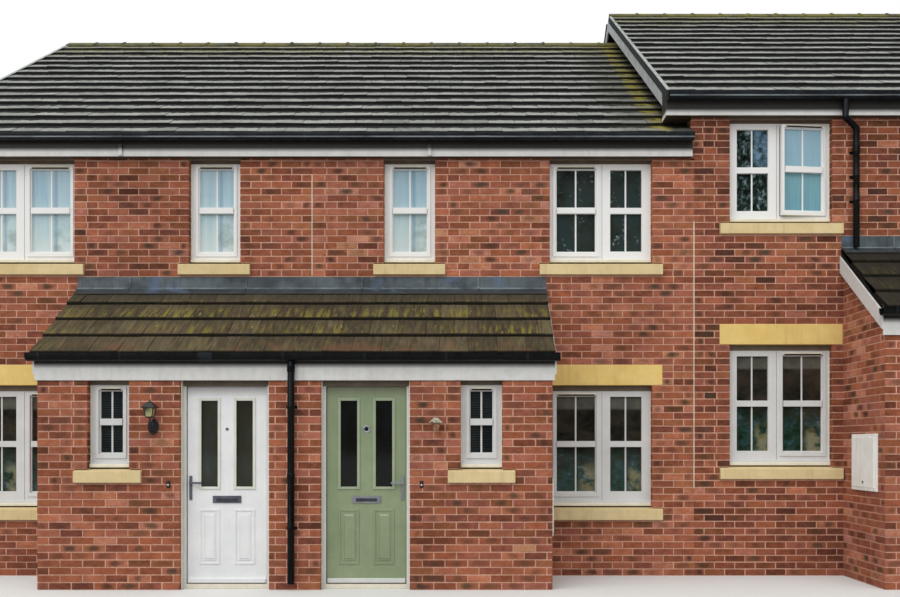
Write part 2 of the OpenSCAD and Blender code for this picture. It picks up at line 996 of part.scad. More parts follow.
// Angle of the front sash next to the party line of house h
function sash_angle(h) = h == houses[2] ? ajar : 0;

// Puts children at the front and the rear of a house
module both_faces() {
    at_front()
        children();
    at_rear()
        children();
}

module at_porches() {
    for (h = houses)
        at_house(h)
            translate([0, porch_y, 0])
                children();
}

module upper_windows() {
    color("white")
        for (h = houses)
            at_house(h) {
                at_front()
                    upper_frames(h[4], sash_angle(h));
                at_rear()
                    upper_frames(h[4], 0);
            }
}

module ground_windows() {
    color("white")
        for (h = houses)
            at_house(h)
                both_faces()
                    in_hole(ground_hole(h[4], stone_lap))
                        window_frame(wide_w, ground_head_z - ground_sill_z, ground_cill_h,
                                     ground_board_h, 0);
}

module porch_windows() {
    color("white")
        at_porches()
            in_hole(porch_hole)
                window_frame(porch_win_w, ground_head_z - porch_sill_z, porch_cill_h,
                             ground_board_h, 0);
}

module window_glass_upper() {
    color("lightblue")
        for (h = houses)
            at_house(h) {
                at_front()
                    upper_panes(h[4], sash_angle(h));
                at_rear()
                    upper_panes(h[4], 0);
            }
}

module window_glass_lower() {
    color("lightblue") {
        for (h = houses)
            at_house(h)
                both_faces()
                    in_hole(ground_hole(h[4], stone_lap))
                        window_glass(wide_w, ground_head_z - ground_sill_z, ground_cill_h,
                                     ground_board_h, 0);
        at_porches()
            in_hole(porch_hole)
                window_glass(porch_win_w, ground_head_z - porch_sill_z, porch_cill_h,
                             ground_board_h, 0);
    }
}

// Stone sill with a sloping top, seated in its recess under hole h
module stone_sill(h) {
    nose = window_set - cill_proud;
    translate([h[0], 0, h[2]])
        along_x(-h[1] / 2 - h[4], h[1] / 2 + h[5])
            polygon([
                [-sill_out, -sill_h],
                [stone_in, -sill_h],
                [stone_in, 0],
                [nose, 0],
                [-sill_out, -sill_fall]
            ]);
}

module stone_sills() {
    color("khaki") {
        for (h = houses)
            at_house(h) {
                both_faces()
                    for (hole = upper_holes(h[4]))
                        stone_sill(hole);
                at_front()
                    stone_sill(ground_hole(h[4], front_lap(h[4])));
                at_rear()
                    stone_sill(ground_hole(h[4], stone_lap));
            }
        at_porches()
            stone_sill(porch_hole);
    }
}

module stone_lintel(h) {
    translate([h[0] - h[1] / 2 - h[4], -lintel_out, h[3]])
        cube([h[1] + h[4] + h[5], lintel_out + stone_in, lintel_h]);
}

module stone_lintels() {
    color("khaki")
        for (h = houses)
            at_house(h) {
                at_front()
                    stone_lintel(ground_hole(h[4], front_lap(h[4])));
                at_rear() {
                    stone_lintel(ground_hole(h[4], stone_lap));
                    stone_lintel(rear_door_hole);
                }
            }
}

// Doors

leaf_w = door_w - 2 * jamb_w - 2 * leaf_gap;
leaf_z = threshold_h + leaf_gap;
leaf_h = ground_head_z - jamb_w - leaf_gap - leaf_z;
// Back face of the frame and of the leaf, behind the brick face
door_back = door_set + frame_d;

// Puts children at the opening front doors: left pair, both houses
module at_open_doors() {
    for (h = [houses[0], houses[1]])
        at_house(h)
            translate([door_cx, porch_y, 0])
                children();
}

module door_jambs() {
    head = ground_head_z - jamb_w;
    color("white")
        at_open_doors() {
            for (side = [0, 1])
                mirror([side, 0, 0])
                    translate([door_w / 2 - jamb_w, door_set, 0])
                        cube([jamb_w, frame_d, head]);
            hinge_knuckles(0);
        }
}

module door_heads() {
    color("white")
        at_open_doors()
            translate([-door_w / 2, door_set, ground_head_z - jamb_w])
                cube([door_w, frame_d, jamb_w]);
}

module door_thresholds() {
    color("white")
        at_open_doors()
            translate([-door_w / 2 + jamb_w, door_set, 0])
                cube([door_w - 2 * jamb_w, frame_d, threshold_h]);
}

// Hinge axis: behind the back face, in the middle of the gap next to the pier
hinge_x = -leaf_w / 2 - leaf_gap / 2;
hinge_y = door_back + knuckle_r + 0.5;
hinge_heights = [220, 1020, 1780];
knuckle_gap = 0.3;

// Knuckles with their plates: part 0 on the frame, part 1 on the leaf above it
module hinge_knuckles(part) {
    plate_w = 26;
    plate_t = 4;
    reach = part == 0 ? -plate_w : 0;
    for (z = hinge_heights)
        translate([hinge_x, 0, z + part * (knuckle_h + knuckle_gap)]) {
            translate([0, hinge_y, 0])
                cylinder(h = knuckle_h, r = knuckle_r, $fn = facets);
            translate([reach, door_back, 0])
                cube([plate_w, plate_t, knuckle_h]);
        }
}

// Raised moulding round a rectangle of w by h centred on x, foot at z
module moulding(x, z, w, h) {
    rim = 14;
    translate([x - w / 2 - rim, door_back - leaf_t - mould_d, z - rim])
        difference() {
            cube([w + 2 * rim, mould_d + eps, h + 2 * rim]);
            translate([rim, -eps, rim])
                cube([w, mould_d + 3 * eps, h]);
        }
}

// Leaf with two tall lights over two raised panels
module door_leaf() {
    field = 26;
    difference() {
        translate([-leaf_w / 2, door_back - leaf_t, leaf_z])
            cube([leaf_w, leaf_t, leaf_h]);
        for (side = [-1, 1])
            translate([side * light_cx - light_w / 2, door_back - leaf_t - eps, leaf_z + light_z])
                cube([light_w, leaf_t + 2 * eps, light_h]);
    }
    for (side = [-1, 1]) {
        moulding(side * light_cx, leaf_z + light_z, light_w, light_h);
        moulding(side * light_cx, leaf_z + panel_z, light_w, panel_h);
        translate([side * light_cx - light_w / 2 + field, door_back - leaf_t - mould_d,
                   leaf_z + panel_z + field])
            cube([light_w - 2 * field, mould_d + eps, panel_h - 2 * field]);
    }
}

module door_glass() {
    for (side = [-1, 1])
        translate([side * light_cx - light_w / 2, door_back - leaf_t / 2 - glass_t / 2,
                   leaf_z + light_z])
            cube([light_w, glass_t, light_h]);
}

// Letter plate and lever handles on both faces of the leaf
module door_fittings(lock_side) {
    plate_w = 285;
    plate_h = 72;
    handle_x = lock_side * (leaf_w / 2 - 32);
    handle_z = 1010;
    lever_l = 115;
    letter_t = 10;
    for (face = [0, 1]) {
        flat = face == 0 ? door_back - leaf_t : door_back;
        out = face == 0 ? -1 : 1;
        translate([-plate_w / 2, face == 0 ? flat - letter_t : flat, leaf_z + letter_z])
            cube([plate_w, letter_t, plate_h]);
        translate([handle_x - 14, face == 0 ? flat - letter_t : flat, handle_z - 120])
            cube([28, letter_t, 240]);
        translate([handle_x, flat + out * letter_t, handle_z + 50])
            rotate([out * -90, 0, 0])
                cylinder(h = 34, r = 9, $fn = 24);
        translate([lock_side > 0 ? handle_x - lever_l : handle_x,
                   flat + out * (letter_t + 34) - 8, handle_z + 41])
            cube([lever_l, 16, 18]);
    }
}

module white_door() {
    color("whitesmoke")
        at_house(houses[0])
            translate([door_cx, porch_y, 0]) {
                door_leaf();
                hinge_knuckles(1);
            }
}

module white_door_glass() {
    color("lightblue")
        at_house(houses[0])
            translate([door_cx, porch_y, 0])
                door_glass();
}

module white_door_fittings() {
    color("black")
        at_house(houses[0])
            translate([door_cx, porch_y, 0])
                door_fittings(1);
}

module green_door() {
    color("darkseagreen")
        at_house(houses[1])
            translate([door_cx, porch_y, 0]) {
                door_leaf();
                hinge_knuckles(1);
            }
}

module green_door_glass() {
    color("lightblue")
        at_house(houses[1])
            translate([door_cx, porch_y, 0])
                door_glass();
}

module green_door_fittings() {
    color("black")
        at_house(houses[1])
            translate([door_cx, porch_y, 0])
                door_fittings(1);
}

// Puts children at the doors that stay shut: right pair front, all rear doors
module at_fixed_doors() {
    for (h = [houses[2], houses[3]])
        at_house(h)
            translate([door_cx, porch_y, 0])
                children();
    for (h = houses)
        at_house(h)
            at_rear()
                translate([rear_door_cx, 0, 0])
                    children();
}

// Frame and leaf of a shut door as one piece
module fixed_door() {
    difference() {
        translate([-door_w / 2, door_set, 0])
            cube([door_w, frame_d, ground_head_z]);
        for (side = [-1, 1])
            translate([side * light_cx - light_w / 2, door_set - eps, leaf_z + light_z])
                cube([light_w, frame_d + 2 * eps, light_h]);
        translate([-leaf_w / 2, door_set - eps, leaf_z])
            cube([leaf_w, frame_d - leaf_t + eps, leaf_h]);
    }
    for (side = [-1, 1]) {
        moulding(side * light_cx, leaf_z + light_z, light_w, light_h);
        moulding(side * light_cx, leaf_z + panel_z, light_w, panel_h);
    }
    door_fittings(1);
}

module fixed_doors() {
    color("whitesmoke")
        at_fixed_doors()
            fixed_door();
}

module fixed_door_glass() {
    color("lightblue")
        at_fixed_doors()
            door_glass();
}

// Fittings on the walls

// Four-sided lantern that stands on a bracket, its back at y = 0
module lantern() {
    arm = 105;
    plate_w = 84;
    plate_t = 10;
    foot = 0.47 * lantern_h;
    glass_top = 0.76 * lantern_h;
    cap_top = 0.95 * lantern_h;
    foot_r = 46;
    glass_r = 70;
    cap_r = 96;
    bar = 14;
    translate([-plate_w / 2, -plate_t, 0])
        cube([plate_w, plate_t, foot]);
    translate([-bar / 2, -arm, plate_w / 2])
        cube([bar, arm - plate_t + eps, bar]);
    translate([0, -arm, plate_w / 2]) {
        cylinder(h = foot - plate_w / 2 + eps, r = bar / 2, $fn = facets);
        sphere(r = bar, $fn = facets);
    }
    translate([0, -arm, 0])
        rotate([0, 0, 45]) {
            translate([0, 0, foot])
                cylinder(h = glass_top - foot, r1 = foot_r, r2 = glass_r, $fn = 4);
            translate([0, 0, glass_top])
                cylinder(h = cap_top - glass_top, r1 = cap_r, r2 = bar, $fn = 4);
            translate([0, 0, cap_top - eps])
                cylinder(h = lantern_h - cap_top + eps, r = bar / 2, $fn = facets);
        }
}

module wall_lanterns() {
    color("black")
        at_porches()
            translate([lantern_cx, 0, lantern_z])
                lantern();
}

module meter_boxes() {
    color("white")
        for (h = houses)
            at_house(h)
                translate([porch_half_w, front_y - meter_y - meter_side, meter_z])
                    cube([meter_d, meter_side, meter_side]);
}

ground_floors();
porch_floors();
first_floors();
front_lower_walls();
front_upper_wall_left();
front_upper_wall_right();
rear_wall_left();
rear_wall_right();
end_wall_left();
end_wall_right();
step_wall();
party_walls();
porch_front_walls();
porch_beams();
porch_side_walls();
porch_party_walls();
roof_front_left();
roof_rear_left();
roof_front_right();
roof_rear_right();
ridge_tiles();
porch_roofs();
porch_flashings();
eaves_boards();
porch_fascias();
gutters();
porch_gutters();
bargeboards_front();
bargeboards_rear();
verge_caps_front();
verge_caps_rear();
porch_bargeboards();
downpipes();
upper_windows();
ground_windows();
porch_windows();
window_glass_upper();
window_glass_lower();
stone_sills();
stone_lintels();
door_jambs();
door_heads();
door_thresholds();
white_door();
white_door_glass();
white_door_fittings();
green_door();
green_door_glass();
green_door_fittings();
fixed_doors();
fixed_door_glass();
wall_lanterns();
meter_boxes();
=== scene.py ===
import math
import random

import bmesh
import bpy
from mathutils import Matrix, Vector


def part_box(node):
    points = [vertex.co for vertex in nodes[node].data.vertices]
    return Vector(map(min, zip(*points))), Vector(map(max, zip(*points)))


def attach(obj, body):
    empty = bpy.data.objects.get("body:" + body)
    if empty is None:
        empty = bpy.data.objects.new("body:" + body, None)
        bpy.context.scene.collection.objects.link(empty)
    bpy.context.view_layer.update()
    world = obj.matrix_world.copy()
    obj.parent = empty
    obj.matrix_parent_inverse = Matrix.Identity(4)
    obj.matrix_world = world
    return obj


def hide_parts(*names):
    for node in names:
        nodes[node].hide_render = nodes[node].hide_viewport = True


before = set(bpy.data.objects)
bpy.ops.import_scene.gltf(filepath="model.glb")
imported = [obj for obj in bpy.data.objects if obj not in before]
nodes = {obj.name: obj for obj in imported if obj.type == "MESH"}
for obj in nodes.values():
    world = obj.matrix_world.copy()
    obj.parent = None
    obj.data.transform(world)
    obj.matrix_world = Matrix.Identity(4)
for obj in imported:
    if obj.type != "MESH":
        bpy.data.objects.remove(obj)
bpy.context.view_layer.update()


# Camera
# Eye height on the lower ground, square to the house fronts, with the lens
# shifted up so that upright lines stay upright.
CAMERA_AT = (-2.608, -14.25, 1.43)
PHOTO_SIZE = (900, 597)
FOCAL_PX = 920
AXIS_PX = (467, 446)
SENSOR_MM = 36
QUARTER = math.pi / 2


def linked(name, data):
    """New object of some data, in the scene."""
    made = bpy.data.objects.new(name, data)
    bpy.context.scene.collection.objects.link(made)
    return made


eye = bpy.data.cameras.new("eye")
eye.sensor_width = SENSOR_MM
eye.lens = FOCAL_PX * SENSOR_MM / PHOTO_SIZE[0]
eye.shift_x = (PHOTO_SIZE[0] / 2 - AXIS_PX[0]) / PHOTO_SIZE[0]
eye.shift_y = (AXIS_PX[1] - PHOTO_SIZE[1] / 2) / PHOTO_SIZE[0]
camera = linked("eye", eye)
camera.location = CAMERA_AT
camera.rotation_euler = (QUARTER, 0, 0)
bpy.context.scene.camera = camera
bpy.context.scene.view_settings.view_transform = "Standard"


# Daylight and floor
# An even cloudy sky, a soft high light from the front left, and a plain pale
# floor. The glass and the gutters mirror a pale sky over a dark band.
SUN_STRENGTH = 1.45
SUN_ANGLE = math.radians(75)
SUN_TURN = (math.radians(45), 0, math.radians(-35))
FLOOR_SEEN = (222, 222, 219)
FLOOR_CAST = (150, 150, 150)
FLOOR_REACH = 150


def colour_of(value):
    """Linear colour from a grey share, a screen colour of 0 to 255, or itself."""
    if not isinstance(value, tuple):
        return (value, value, value, 1)
    if len(value) == 4:
        return value
    shares = [c / 255 for c in value]
    return (*(c / 12.92 if c <= 0.04045 else ((c + 0.055) / 1.055) ** 2.4 for c in shares), 1)


class Flow:
    """An output in a node tree. Sums, ramps and blends of it add nodes."""

    def __init__(self, tree, socket):
        self.tree, self.socket = tree, socket

    def math(self, operation, other=0.0):
        return self.tree.flow("ShaderNodeMath", {0: self, 1: other}, operation=operation)

    def __add__(self, other):
        return self.math("ADD", other)

    def __sub__(self, other):
        return self.math("SUBTRACT", other)

    def __rsub__(self, other):
        return self.tree.flow("ShaderNodeMath", {0: other, 1: self}, operation="SUBTRACT")

    def __mul__(self, other):
        return self.math("MULTIPLY", other)

    def __truediv__(self, other):
        return self.math("DIVIDE", other)

    def part(self, axis):
        return self.tree.flow("ShaderNodeSeparateXYZ", {0: self}, axis)

    def ramp(self, stops):
        """Colour ramp through a dict of positions and colours or greys."""
        node = self.tree.node("ShaderNodeValToRGB", {0: self})
        points = node.color_ramp.elements
        while len(points) < len(stops):
            points.new(0.5)
        for point, (at, colour) in zip(points, stops.items()):
            point.position = at
            point.color = colour_of(colour)
        return Flow(self.tree, node.outputs["Color"])

    def blend(self, mask, other, way="MIX"):
        """This colour changed to the other one where the mask is 1."""
        other = other if isinstance(other, Flow) else colour_of(other)
        return self.tree.flow("ShaderNodeMix", {0: mask, 6: self, 7: other}, 2, data_type="RGBA", blend_type=way)

    def band(self, low, high, soft):
        """1 between low and high, falling softly to 0 outside them."""
        up = ((self - (low - soft)) / (2 * soft)).ramp({0: 0, 1: 1})
        down = ((high + soft - self) / (2 * soft)).ramp({0: 0, 1: 1})
        return up * down


class Tree:
    """A node tree, with short calls to add its nodes."""

    def __init__(self, tree):
        self.tree = tree

    def node(self, kind, inputs, **settings):
        """New node with its settings, and its sockets set or joined to flows."""
        node = self.tree.nodes.new(kind)
        for name, value in settings.items():
            setattr(node, name, value)
        for socket, value in inputs.items():
            if isinstance(value, Flow):
                self.tree.links.new(value.socket, node.inputs[socket])
            else:
                node.inputs[socket].default_value = value
        return node

    def flow(self, kind, inputs, output=0, **settings):
        return Flow(self, self.node(kind, inputs, **settings).outputs[output])

    def noise(self, scale, detail=5.0, rough=0.65, stretch=None, twist=0.0, at=None):
        at = at or self.place
        if stretch:
            at = self.flow("ShaderNodeMapping", {"Vector": at, "Scale": stretch})
        return self.flow("ShaderNodeTexNoise", {"Vector": at, "Scale": scale, "Detail": detail,
                                                "Roughness": rough, "Distortion": twist}, "Fac")


class Finish(Tree):
    """A new material's node tree round its Principled surface."""

    def __init__(self, name, rough=0.9, specular=0.5):
        self.material = bpy.data.materials.new(name)
        self.material.use_nodes = True
        super().__init__(self.material.node_tree)
        self.surface = self.tree.nodes["Principled BSDF"].inputs
        self.surface["Roughness"].default_value = rough
        self.surface["Specular IOR Level"].default_value = specular
        self.place = self.flow("ShaderNodeTexCoord", {}, "Object")

    def attribute(self, name):
        return self.flow("ShaderNodeAttribute", {}, "Fac", attribute_name=name)

    def feed(self, socket, flow):
        self.tree.links.new(flow.socket, self.surface[socket])

    def paint(self, colour, bumps=None, distance=0.0, strength=0.5):
        """Joins a colour and bumps, a flow or a noise scale, and gives the material."""
        self.feed("Base Color", colour)
        if bumps:
            height = bumps if isinstance(bumps, Flow) else self.noise(bumps, 6, 0.6)
            self.feed("Normal", self.flow("ShaderNodeBump", {"Height": height, "Distance": distance,
                                                             "Strength": strength}))
        return self.material


world = bpy.data.worlds.new("cloudy_sky")
world.use_nodes = True
world.node_tree.nodes.clear()
sky = Tree(world.node_tree)
toward = sky.flow("ShaderNodeTexCoord", {}, "Generated")
height = toward.part(2)
light = height.ramp({0: 0.78, 0.35: (0.96, 0.97, 0.98, 1), 1: 1.02})
tree_top = height + sky.noise(9, 6, 0.7, at=toward) * -0.5
mirrored = tree_top.ramp({0: (0.01, 0.013, 0.011, 1), 0.1: (0.03, 0.04, 0.035, 1),
                          0.17: (0.5, 0.6, 0.68, 1), 0.6: (0.9, 0.98, 1.05, 1)})
seen = light.blend(sky.flow("ShaderNodeLightPath", {}, "Is Glossy Ray"), mirrored)
seen = seen.blend(sky.flow("ShaderNodeLightPath", {}, "Is Camera Ray"), 1.0)
sky.node("ShaderNodeOutputWorld", {0: sky.flow("ShaderNodeBackground", {"Color": seen})})
bpy.context.scene.world = world

sun = bpy.data.lights.new("sun", "SUN")
sun.energy = SUN_STRENGTH
sun.angle = SUN_ANGLE
linked("sun", sun).rotation_euler = SUN_TURN


def piece(name, bm, material):
    """Object of a finished bmesh, at the origin, with one material."""
    mesh = bpy.data.meshes.new(name)
    bm.to_mesh(mesh)
    bm.free()
    mesh.materials.append(material)
    return linked(name, mesh)


floor = Finish("pale_floor")
camera_ray = floor.flow("ShaderNodeLightPath", {}, "Is Camera Ray")
bm = bmesh.new()
bmesh.ops.create_grid(bm, x_segments=1, y_segments=1, size=FLOOR_REACH)
piece("floor", bm, floor.paint(camera_ray.ramp({0: FLOOR_CAST, 1: FLOOR_SEEN})))


# Outer walls: mortar
# Cavity walls whose outer leaf is laid in buff mortar. The walls' own faces are
# the mortar joints, weathered in soft dark patches.
def dress(material, *names):
    """Gives CAD nodes their finish."""
    for name in names:
        mesh = nodes[name].data
        mesh.materials.clear()
        mesh.materials.append(material)


def grime(colour, strength):
    """Soft dark weathering over a colour, in large and small patches."""
    tree = colour.tree
    both = tree.noise(0.9, 4, 0.6) * tree.noise(7, 5, 0.65)
    return colour.blend(1.0, both.ramp({0.12: 1 - strength, 0.32: 1}), "MULTIPLY")


def stain(colour, streak, strength):
    """Thin upright streaks of a darker colour, run down by rain."""
    runs = colour.tree.noise(14, 5, 0.7, (1, 1, 0.08)).ramp({0.52: 0, 0.7: 1})
    return colour.blend(runs * strength, streak)


def mottled(name, rough, specular, noise, stops, *bumps, streak=None, dirt=0.0):
    """Finish in soft patches: its noise, its colours, its bumps, its weathering."""
    made = Finish(name, rough, specular)
    colour = made.noise(*noise).ramp(stops)
    if streak:
        colour = stain(colour, *streak)
    if dirt:
        colour = grime(colour, dirt)
    return made.paint(colour, *bumps)


dress(mottled("buff_mortar", 0.95, 0.2, (60, 6, 0.7),
              {0.3: (176, 132, 110), 0.5: (214, 164, 140), 0.72: (230, 188, 162)}, 220, 0.002, dirt=0.3),
      "front_lower_walls", "front_upper_wall_left", "front_upper_wall_right",
      "rear_wall_left", "rear_wall_right", "end_wall_left", "end_wall_right", "step_wall",
      "porch_front_walls", "porch_side_walls")


# Bricks
# Red-brown wire-cut facing bricks in stretcher bond, 215 by 65 mm in 10 mm
# joints. Each brick stands a little proud of its mortar, with worn arrises and
# its own colour, and many have a dark smudge from the kiln.
STEP_X = -0.1375
LEFT_W = 4.18
RIGHT_W = 4.24
STEP_UP = 0.45
LEFT_END = STEP_X - 2 * LEFT_W
RIGHT_END = STEP_X + 2 * RIGHT_W
LEFT_MID = STEP_X - LEFT_W
RIGHT_MID = STEP_X + RIGHT_W
PAIRS = {"left": (LEFT_MID, LEFT_W, 0.0), "right": (RIGHT_MID, RIGHT_W, STEP_UP)}
HOUSES = [(pair, side, *PAIRS[pair]) for pair in PAIRS for side in (-1, 1)]
HALF_DEPTH = 4.1
SOFFIT_Z = 4.6
PORCH_OUT = 1.012
PORCH_HALF_W = 2.555
PORCH_Y = -HALF_DEPTH - PORCH_OUT
BRICK_L = 0.225
COURSE = 0.075
JOINT = 0.011
THINNEST = 0.01
BRICK_SUNK = 0.001
BRICK_PROUD = 0.004
BRICK_ARRIS = 0.0025
BRICK_SHIFT = 0.0015
BRICK_RISE = 0.001
TONE_SPREAD = 0.155
SMUDGED_HARD, SMUDGED = 0.09, 0.4
SHORTEST_BAT = 0.055
SHORTEST_RUN = 0.02
SLIVER_AREA = 0.0006
WELD = 0.00001
REVEAL = 0.08
WIDE_W = 1.135
NARROW_W = 0.572
WIDE_OFF = 0.993
NARROW_CX = 1.075
STONE_LAP = 0.11
SILL_H = 0.15
GROUND_SILL_Z = 0.75
GROUND_HEAD_Z = 2.1
UPPER_SILL_Z = 3.45
LINTEL_TOP_Z = 2.325
PORCH_WIN_W = 0.42
PORCH_WIN_CX = PORCH_HALF_W - 0.701
PORCH_LAP = 0.125
PORCH_SILL_Z = 1.2
DOOR_W = 0.89
DOOR_CX = 0.7
REAR_DOOR_CX = 1.075
PLATE_Z = 4.74
ROOF_SLOPE = math.tan(math.radians(33.5))
PORCH_SLOPE = math.tan(math.radians(36))
PORCH_TOP_Z = 3.30
PORCH_SIDE_TOP = 3.1
PORCH_WALL_Z = 2.284
STEP_JOINT_X = -0.104
STEP_JOINT = (STEP_JOINT_X, 0.95, 3.92)
PARTY_JOINT = (LEFT_MID, 3.32, 4.42)
SEAL_W = 0.012
SHADES = {("left", -1): 0.5, ("left", 1): 0.57, ("right", -1): 0.38, ("right", 1): 0.43}
REAR_SHADE = 0.46
PORCH_SHADE = 0.52
# Porch side walls get less of the sun, so their bricks take a paler tone as painted light.
PORCH_SIDE_LIT_TONE = 0.66
random.seed(41)


def stretches(start, end, z, holes):
    """Parts of a course at height z that lie outside the holes."""
    parts = [(start, end)]
    for left, right, foot, head in holes:
        if foot < z < head:
            parts = [cut for a, b in parts for cut in ((a, min(b, left)), (max(a, right), b))
                     if cut[1] - cut[0] > SHORTEST_RUN]
    return parts


def joints_of(start, end, first):
    """Upright joints of one stretch, with no brick shorter than a bat."""
    at = first + math.ceil((start + SHORTEST_BAT - first) / BRICK_L) * BRICK_L
    cuts = [start]
    while at < end - SHORTEST_BAT:
        cuts.append(at)
        at += BRICK_L
    cuts.append(end)
    joints = []
    for a, b in zip(cuts, cuts[1:]):
        joints.append(a)
        if b - a > BRICK_L + JOINT:
            joints.append((a + b) / 2)
    return joints + [end]


def pour(bm, part, matrix=None):
    """Moves a part's mesh into bm, placed by a matrix."""
    if matrix:
        bmesh.ops.transform(part, verts=part.verts, matrix=matrix)
    mesh = bpy.data.meshes.new("part")
    part.to_mesh(mesh)
    part.free()
    bm.from_mesh(mesh)
    bpy.data.meshes.remove(mesh)


class Brickwork:
    """Bricks of one piece, laid wall by wall."""

    def __init__(self):
        self.bm = bmesh.new()
        self.layers(self.bm)

    def layers(self, bm):
        numbers = bm.faces.layers.float
        return numbers.new("tone"), numbers.new("hue"), numbers.new("burn"), bm.loops.layers.uv.new("brick")

    def lay(self, turn, at, start, end, foot, head, holes=(), shade=0.5, bond=None, planes=()):
        """Field of bricks on a wall that is turned about +Z from facing -Y.

        Odd courses have a joint at bond and even courses half a brick on.
        Planes, as a point and an outward direction in the wall's own X and Z,
        cut off the field.
        """
        wall = bmesh.new()
        tone, hue, burn, chart = self.layers(wall)
        bond = start if bond is None else bond
        for i in range(math.floor(foot / COURSE), math.ceil(head / COURSE)):
            z0 = max(foot, i * COURSE + JOINT / 2)
            z1 = min(head, (i + 1) * COURSE - JOINT / 2)
            if z1 - z0 < THINNEST:
                continue
            first = bond + ((i + 1) % 2) * BRICK_L / 2
            for a, b in stretches(start, end, (i + 0.5) * COURSE, holes):
                cuts = joints_of(a, b, first)
                for x0, x1 in zip(cuts, cuts[1:]):
                    x0 += JOINT / 2 if x0 > a else 0
                    x1 -= JOINT / 2 if x1 < b else 0
                    slip = random.uniform(-BRICK_SHIFT, BRICK_SHIFT)
                    rise = random.uniform(-BRICK_RISE, BRICK_RISE)
                    brick = wall.faces.new([wall.verts.new((x + slip, BRICK_SUNK, z + rise))
                                            for x, z in ((x0, z0), (x1, z0), (x1, z1), (x0, z1))])
                    brick[tone] = shade + random.gauss(0, TONE_SPREAD)
                    brick[hue] = random.random()
                    smudged = random.random()
                    brick[burn] = (random.uniform(0.75, 1.0) if smudged < SMUDGED_HARD else
                                   random.uniform(0.25, 0.6) if smudged < SMUDGED else 0.0)
                    for loop, uv in zip(brick.loops, ((0, 0), (1, 0), (1, 1), (0, 1))):
                        loop[chart].uv = uv
        for point, outward in planes:
            parts = list(wall.verts) + list(wall.edges) + list(wall.faces)
            bmesh.ops.bisect_plane(wall, geom=parts, clear_outer=True, plane_co=(point[0], 0, point[1]),
                                   plane_no=(outward[0], 0, outward[1]))
        slivers = [face for face in wall.faces if face.calc_area() < SLIVER_AREA]
        bmesh.ops.delete(wall, geom=slivers, context="FACES")
        backs = [[vert.co.copy() for vert in reversed(face.verts)] for face in wall.faces]
        bmesh.ops.inset_individual(wall, faces=list(wall.faces), thickness=BRICK_ARRIS,
                                   depth=BRICK_PROUD + BRICK_SUNK, use_interpolate=True)
        for corners in backs:
            wall.faces.new([wall.verts.new(corner) for corner in corners])
        bmesh.ops.remove_doubles(wall, verts=wall.verts, dist=WELD)
        pour(self.bm, wall, Matrix.Translation(at) @ Matrix.Rotation(turn, 4, "Z"))

    def line_jambs(self, holes, y, facing, shade):
        """Brick returns at both sides of openings, back to their frames."""
        near, far = sorted((0, REVEAL * facing))
        for left, right, foot, head in holes:
            self.lay(QUARTER, (left, y, 0), near, far, foot, head, shade=shade)
            self.lay(-QUARTER, (right, y, 0), -far, -near, foot, head, shade=shade)


def opening(mid, side, off, width, foot, head, ground):
    """Brick opening of a house, as left, right, foot and head."""
    centre = mid + side * off
    return (centre - width / 2, centre + width / 2, ground + foot, ground + head)


def widen(hole, lap, foot, head):
    """Bed of a sill or lintel, lapping past its opening on both sides."""
    return (hole[0] - lap, hole[1] + lap, foot, head)


def windows_of(mid, side, width, ground):
    """Wide and narrow upper and wide ground-floor window openings of a house."""
    return (opening(mid, side, width - WIDE_OFF, WIDE_W, UPPER_SILL_Z, SOFFIT_Z, ground),
            opening(mid, side, NARROW_CX, NARROW_W, UPPER_SILL_Z, SOFFIT_Z, ground),
            opening(mid, side, width - WIDE_OFF, WIDE_W, GROUND_SILL_Z, GROUND_HEAD_Z, ground))


def porch_window(mid, side, ground):
    """Small window opening of a porch."""
    return opening(mid, side, PORCH_WIN_CX, PORCH_WIN_W, PORCH_SILL_Z, GROUND_HEAD_Z, ground)


def doorway(mid, side, off, ground):
    """Doorway at a distance from the party line."""
    return opening(mid, side, off, DOOR_W, 0, GROUND_HEAD_Z, ground)


def roof_cuts(plate_z):
    """Planes along both slopes over a gable with its wall plates at a height."""
    return [((-HALF_DEPTH, plate_z), (-ROOF_SLOPE, 1)), ((HALF_DEPTH, plate_z), (ROOF_SLOPE, 1))]


clay = Finish("red_brick", 0.92, 0.2)
drag_lines = clay.noise(26, 7, 0.7, (1, 1, 3.5))
own = clay.attribute("tone") + drag_lines * 0.7 + clay.noise(11, 3, 0.6, (1, 1, 1.6)) * 0.55 - 0.625
colour = own.ramp({0: (88, 50, 38), 0.25: (124, 71, 52), 0.5: (158, 93, 69), 0.75: (178, 110, 84),
                   1: (204, 142, 116)})
cast = clay.attribute("hue").ramp({0: (0.93, 0.9, 1.05, 1), 0.4: 1, 0.75: (1.05, 0.97, 0.86, 1),
                                   1: (0.86, 0.95, 0.8, 1)})
colour = colour.blend(1.0, cast, "MULTIPLY")
chart = clay.flow("ShaderNodeUVMap", {}, uv_map="brick")
aside = (chart.part(0) + clay.noise(5, 2) * 0.9 - 0.95) * 1.9
above = (chart.part(1) - 0.5) * 1.1
away = aside * aside + above * above + drag_lines * 0.25
smudge = away.ramp({0.12: 1, 0.62: 0}) * clay.attribute("burn")
smoke = clay.noise(3, 2).ramp({0.4: (74, 50, 40), 0.6: (70, 66, 52)})
brick = clay.paint(grime(colour.blend(smudge, smoke), 0.3), 160, 0.003, 0.6)

